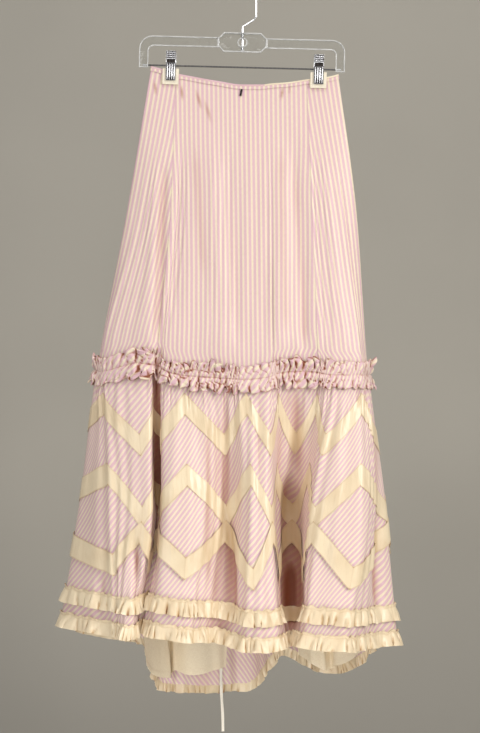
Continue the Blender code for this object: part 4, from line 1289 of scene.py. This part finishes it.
def make_clear_frame(settings):
    """The moulded frame with its long edges rounded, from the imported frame's own shape."""
    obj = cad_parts["hanger_frame"].copy()
    obj.data = obj.data.copy()
    obj.name = "hanger_frame_clear"
    bpy.context.scene.collection.objects.link(obj)
    obj.data.materials.clear()
    for finish in ("clear_plastic", "clear_rim"):
        obj.data.materials.append(finish_of(settings, finish))
    select_only(obj)
    bpy.ops.object.mode_set(mode="EDIT")
    bpy.ops.mesh.select_all(action="SELECT")
    bpy.ops.mesh.remove_doubles(threshold=WELD)
    bpy.ops.mesh.dissolve_limited(angle_limit=FLAT_ANGLE)
    bpy.ops.mesh.select_mode(type="FACE")
    bpy.ops.mesh.select_all(action="DESELECT")
    bpy.ops.object.mode_set(mode="OBJECT")
    for face in obj.data.polygons:
        face.select = abs(face.normal.y) > FACING_FRONT
    bpy.ops.object.mode_set(mode="EDIT")
    bpy.ops.mesh.inset(thickness=FRAME_RIM * MM, depth=0)
    bpy.ops.mesh.inset(thickness=FRAME_STEP * MM, depth=-FRAME_SUNK * MM)
    bpy.ops.mesh.select_all(action="INVERT")
    obj.active_material_index = 1
    bpy.ops.object.material_slot_assign()
    bpy.ops.mesh.select_all(action="DESELECT")
    bpy.ops.mesh.select_mode(type="EDGE")
    bpy.ops.mesh.edges_select_sharp(sharpness=FRAME_SHARP)
    bpy.ops.mesh.bevel(offset=FRAME_EDGE * MM, segments=3, clamp_overlap=True)
    bpy.ops.object.mode_set(mode="OBJECT")
    bpy.ops.object.shade_smooth_by_angle(angle=SMOOTH_ANGLE)
    stand_for(obj, "hanger_frame")


def tilted(x, y, z):
    """A point on the hanger, in metres, from its place before the hanger tilts, in millimetres."""
    return Matrix.Rotation(TILT, 4, "Y") @ Vector((x * MM, y * MM, z * MM))


def finish_part(obj, name, slot, settings):
    """Names a finished hard piece, settles its place into its mesh and gives it its material."""
    obj.name = name
    select_only(obj)
    bpy.ops.object.transform_apply(location=True, rotation=True, scale=True)
    obj.data.materials.clear()
    obj.data.materials.append(finish_of(settings, slot))
    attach(obj, "root")


def rounded(bevel):
    """Rounds all the long edges of the small piece that is active."""
    bpy.ops.object.mode_set(mode="EDIT")
    bpy.ops.mesh.select_all(action="DESELECT")
    bpy.ops.mesh.select_mode(type="EDGE")
    bpy.ops.mesh.edges_select_sharp(sharpness=PART_SHARP)
    bpy.ops.mesh.bevel(offset=bevel * MM, segments=2)
    bpy.ops.object.mode_set(mode="OBJECT")
    bpy.ops.object.shade_smooth_by_angle(angle=SMOOTH_ANGLE)


def repeated(obj, *rows):
    """Copies a small piece in rows: each is a count and a step in millimetres."""
    for count, step in rows:
        array = obj.modifiers.new("row", "ARRAY")
        array.count = count
        array.use_relative_offset = False
        array.use_constant_offset = True
        array.constant_offset_displace = [part * MM for part in step]
        bpy.ops.object.modifier_apply(modifier=array.name)


def rod_at(place, radius, length):
    """A short round rod that stands on end."""
    bpy.ops.mesh.primitive_cylinder_add(
        vertices=ROD_SIDES, radius=radius * MM, depth=length * MM, location=place)
    return bpy.context.object


def block_at(place, size):
    """A plain block."""
    bpy.ops.mesh.primitive_cube_add(size=1, location=place)
    obj = bpy.context.object
    obj.scale = [side * MM for side in size]
    bpy.ops.object.transform_apply(location=False, rotation=False, scale=True)
    return obj


def make_clip_details(settings):
    """Ribs on a dark ground and a dotted grip on each jaw, and collars on the hook's shank. The dark
    grounds are painted shade in the grooves and the slot.
    """
    for place, middle in CLIP_PLACES.items():
        first_rib = middle - (RIB_COUNT - 1) / 2 * RIB_PITCH
        first_dot = middle - (DOT_COUNT - 1) / 2 * DOT_PITCH
        for face, side in (("front", -1), ("back", 1)):
            name = f"clip_{place}_{face}"
            for part, z, y, size in CLIP_GROUNDS:
                ground = block_at(tilted(middle, side * y, ROD_DROP + z), size)
                lean = 0 if part == "rib_ground" else -side * math.atan(GRIP_LEAN)
                ground.rotation_euler = (lean, TILT, 0)
                rounded(GROUND_BEVEL)
                finish_part(ground, f"{name}_{part}", "dark_metal", settings)
            rib = rod_at(tilted(first_rib, side * RIB_OUT, ROD_DROP + RIB_HEIGHT), RIB_RADIUS, RIB_LENGTH)
            rounded(RIB_BEVEL)
            repeated(rib, (RIB_COUNT, (RIB_PITCH, 0, 0)))
            rib.rotation_euler = (0, TILT, 0)
            finish_part(rib, f"{name}_ribs", "chrome", settings)
            dot = block_at(tilted(first_dot, side * GRIP_OUT, ROD_DROP + DOT_HEIGHT), DOT_SIZE)
            rounded(DOT_BEVEL)
            row_step = (0, side * GRIP_LEAN * GRIP_STEP, GRIP_STEP)
            repeated(dot, (DOT_COUNT, (DOT_PITCH, 0, 0)), (GRIP_ROWS, row_step))
            dot.rotation_euler = (0, TILT, 0)
            finish_part(dot, f"{name}_grip", "chrome", settings)
    shank_x = -math.tan(TILT) * SHANK_DROP
    for k, (z, length) in enumerate(COLLARS):
        collar = rod_at((shank_x * MM, 0, z * MM), COLLAR_RADIUS, length)
        rounded(DOT_BEVEL)
        finish_part(collar, f"hook_collar_{k}", "chrome", settings)


def dress_carried_nodes(settings):
    """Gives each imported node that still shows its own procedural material."""
    for name, nodes in CARRIED_NODES.items():
        for node in nodes:
            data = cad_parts[node].data
            data.materials.clear()
            data.materials.append(finish_of(settings, name))


# Stage


def area_light(name, place, target, size, power, colour):
    """A soft lamp that points at the target and that the camera does not see."""
    data = bpy.data.lights.new(name, "AREA")
    data.shape = "RECTANGLE"
    data.size, data.size_y = size
    data.energy = power
    data.color = colour
    obj = bpy.data.objects.new(name, data)
    obj.location = place
    obj.rotation_euler = (Vector(target) - Vector(place)).to_track_quat("-Z", "Y").to_euler()
    obj.visible_camera = False
    bpy.context.scene.collection.objects.link(obj)
    return obj


def make_camera():
    """The photo's level view from the front."""
    data = bpy.data.cameras.new("camera")
    data.lens = CAMERA_LENS
    data.sensor_width = CAMERA_SENSOR
    data.dof.use_dof = False
    obj = bpy.data.objects.new("camera", data)
    obj.location = (CAMERA_X * MM, -CAMERA_DISTANCE * MM, -CAMERA_DROP * MM)
    obj.rotation_euler = (math.pi / 2, 0, 0)
    bpy.context.scene.collection.objects.link(obj)
    bpy.context.scene.camera = obj


def make_sweep(settings):
    """A plain wall that bends into the floor."""
    bpy.ops.mesh.primitive_plane_add(size=1)
    sweep = bpy.context.object
    sweep.name = "sweep"
    start_y, start_z = WALL_Y - SWEEP_BEND, FLOOR_Z + SWEEP_BEND
    profile = [(FLOOR_FRONT, FLOOR_Z), (start_y, FLOOR_Z)]
    for angle in BEND_ANGLES:
        profile.append((start_y + SWEEP_BEND * math.sin(angle), start_z - SWEEP_BEND * math.cos(angle)))
    profile += [(WALL_Y, start_z), (WALL_Y, WALL_TOP)]
    points = [(x, y, z) for y, z in profile for x in (-SWEEP_HALF, SWEEP_HALF)]
    faces = [(2 * k, 2 * k + 1, 2 * k + 3, 2 * k + 2) for k in range(len(profile) - 1)]
    sweep.data.clear_geometry()
    sweep.data.from_pydata(points, [], faces)
    sweep.data.materials.append(finish_of(settings, "backdrop_paint"))
    sweep.data.shade_smooth()
    return sweep


def light_room():
    """An even room light that is a little brighter from above."""
    world = bpy.data.worlds.new("studio")
    world.use_nodes = True
    nodes, links = world.node_tree.nodes, world.node_tree.links
    places = nodes.new("ShaderNodeTexCoord")
    height = nodes.new("ShaderNodeSeparateXYZ")
    room = nodes.new("ShaderNodeMapRange")
    for socket, value in zip(room.inputs[1:], ROOM_LIGHT):
        socket.default_value = value
    links.new(places.outputs["Generated"], height.inputs[0])
    links.new(height.outputs["Z"], room.inputs[0])
    links.new(room.outputs[0], nodes["Background"].inputs["Strength"])
    nodes["Background"].inputs["Color"].default_value = ROOM_COLOUR
    bpy.context.scene.world = world


def make_stage(settings):
    """A plain pale sweep behind and below the skirt, and soft studio light."""
    sweep = make_sweep(settings)
    lights = [area_light(*light) for light in LIGHTS]
    light_room()
    bpy.context.scene.view_settings.view_transform = "Standard"


# Add-on


class SkirtSettings(bpy.types.PropertyGroup):
    """Sizes and colours that the pieces are made from."""

    stripe_pitch: bpy.props.FloatProperty(
        name="Stripe pitch", description="Width of one pink and one cream stripe",
        default=0.008, unit="LENGTH")
    cloth_spacing: bpy.props.FloatProperty(
        name="Cloth spacing", description="Distance between the columns of cloth",
        default=0.0032, unit="LENGTH")
    stripe_pink: bpy.props.FloatVectorProperty(
        name="Pink", description="Colour of the pink stripes",
        default=(0.71, 0.475, 0.53), subtype="COLOR")
    stripe_cream: bpy.props.FloatVectorProperty(
        name="Cream", description="Colour of the cream stripes",
        default=(0.83, 0.735, 0.55), subtype="COLOR")
    # Painted shade of the silk's folds, also the colour of its darker threads
    weave_and_fold_shade: bpy.props.FloatVectorProperty(
        name="Fold tint", description="Colour deep in the silk's folds",
        default=(0.36, 0.13, 0.07), subtype="COLOR")
    satin_colour: bpy.props.FloatVectorProperty(
        name="Satin", description="Colour of the bands and frills",
        default=(0.82, 0.69, 0.485), subtype="COLOR")
    # Painted shade in the satin's puckers and folds, also the colour of its darker threads and patches and
    # of the cotton's stitch lines
    satin_shade: bpy.props.FloatVectorProperty(
        name="Satin shade", description="Colour deep in the satin",
        default=(0.50, 0.31, 0.14), subtype="COLOR")
    lining_colour: bpy.props.FloatVectorProperty(
        name="Lining", description="Colour of the cotton lining",
        default=(0.93, 0.82, 0.62), subtype="COLOR")
    tape_colour: bpy.props.FloatVectorProperty(
        name="Tape", description="Colour of the cotton tape",
        default=(0.88, 0.85, 0.76), subtype="COLOR")
    backdrop_colour: bpy.props.FloatVectorProperty(
        name="Backdrop", description="Colour of the sweep",
        default=(0.40, 0.38, 0.335), subtype="COLOR")


class SKIRT_OT_tape(bpy.types.Operator):
    """Makes the tape that hangs from the train"""

    bl_idname = "skirt.tape"
    bl_label = "Train tape"

    def execute(self, context):
        make_tape(context.scene.skirt)
        return {"FINISHED"}


class SKIRT_OT_camera(bpy.types.Operator):
    """Makes the camera at the photo's view"""

    bl_idname = "skirt.camera"
    bl_label = "Camera"

    def execute(self, context):
        make_camera()
        return {"FINISHED"}


class SKIRT_OT_gores(bpy.types.Operator):
    """Makes the four gores of the upper skirt"""

    bl_idname = "skirt.gores"
    bl_label = "Gores"

    def execute(self, context):
        make_gores(context.scene.skirt)
        return {"FINISHED"}


class SKIRT_OT_binding(bpy.types.Operator):
    """Makes the narrow facing round the waist"""

    bl_idname = "skirt.binding"
    bl_label = "Waist facing"

    def execute(self, context):
        make_binding(context.scene.skirt)
        return {"FINISHED"}


class SKIRT_OT_flounce(bpy.types.Operator):
    """Makes the under-flounce in four panels"""

    bl_idname = "skirt.flounce"
    bl_label = "Flounce"

    def execute(self, context):
        make_flounce(context.scene.skirt)
        return {"FINISHED"}


class SKIRT_OT_overlay(bpy.types.Operator):
    """Makes the pointed tier"""

    bl_idname = "skirt.overlay"
    bl_label = "Pointed tier"

    def execute(self, context):
        make_overlay(context.scene.skirt)
        return {"FINISHED"}


class SKIRT_OT_bands(bpy.types.Operator):
    """Makes the three satin bands"""

    bl_idname = "skirt.bands"
    bl_label = "Satin bands"

    def execute(self, context):
        make_bands(context.scene.skirt)
        return {"FINISHED"}


class SKIRT_OT_ruche(bpy.types.Operator):
    """Makes the puffed heading over the seam"""

    bl_idname = "skirt.ruche"
    bl_label = "Puffed heading"

    def execute(self, context):
        make_ruche(context.scene.skirt)
        return {"FINISHED"}


class SKIRT_OT_frills(bpy.types.Operator):
    """Makes the two satin frills"""

    bl_idname = "skirt.frills"
    bl_label = "Frills"

    def execute(self, context):
        make_frills(context.scene.skirt)
        return {"FINISHED"}


class SKIRT_OT_lining(bpy.types.Operator):
    """Makes the lining inside the train"""

    bl_idname = "skirt.lining"
    bl_label = "Train lining"

    def execute(self, context):
        make_train_lining(context.scene.skirt)
        return {"FINISHED"}


class SKIRT_OT_hanger(bpy.types.Operator):
    """Finishes the hanger, its clips and the waist fastening"""

    bl_idname = "skirt.hanger"
    bl_label = "Hanger"

    def execute(self, context):
        dress_carried_nodes(context.scene.skirt)
        make_clear_frame(context.scene.skirt)
        make_clip_details(context.scene.skirt)
        return {"FINISHED"}


class SKIRT_OT_stage(bpy.types.Operator):
    """Makes the sweep and the studio light"""

    bl_idname = "skirt.stage"
    bl_label = "Stage"

    def execute(self, context):
        make_stage(context.scene.skirt)
        return {"FINISHED"}


STEPS = (
    SKIRT_OT_tape,
    SKIRT_OT_camera,
    SKIRT_OT_gores,
    SKIRT_OT_binding,
    SKIRT_OT_flounce,
    SKIRT_OT_overlay,
    SKIRT_OT_bands,
    SKIRT_OT_ruche,
    SKIRT_OT_frills,
    SKIRT_OT_lining,
    SKIRT_OT_hanger,
    SKIRT_OT_stage,
)


class SKIRT_PT_panel(bpy.types.Panel):
    """Lists the skirt's sizes and the steps that build it"""

    bl_idname = "SKIRT_PT_panel"
    bl_label = "Skirt"
    bl_space_type = "VIEW_3D"
    bl_region_type = "UI"
    bl_category = "Skirt"

    def draw(self, context):
        for name in SkirtSettings.__annotations__:
            self.layout.prop(context.scene.skirt, name)
        for step in STEPS:
            self.layout.operator(step.bl_idname)


CLASSES = (SkirtSettings, *STEPS, SKIRT_PT_panel)


def register():
    """Adds the classes and the scene's settings."""
    for item in CLASSES:
        bpy.utils.register_class(item)
    bpy.types.Scene.skirt = bpy.props.PointerProperty(type=SkirtSettings)


def unregister():
    """Takes the classes and the scene's settings out again."""
    del bpy.types.Scene.skirt
    for item in reversed(CLASSES):
        bpy.utils.unregister_class(item)


def main():
    """Builds the whole scene."""
    register()
    bpy.ops.skirt.tape()
    bpy.ops.skirt.camera()
    bpy.ops.skirt.gores()
    bpy.ops.skirt.binding()
    bpy.ops.skirt.flounce()
    bpy.ops.skirt.overlay()
    bpy.ops.skirt.bands()
    bpy.ops.skirt.ruche()
    bpy.ops.skirt.frills()
    bpy.ops.skirt.lining()
    bpy.ops.skirt.hanger()
    bpy.ops.skirt.stage()


if __name__ == "__main__":
    main()
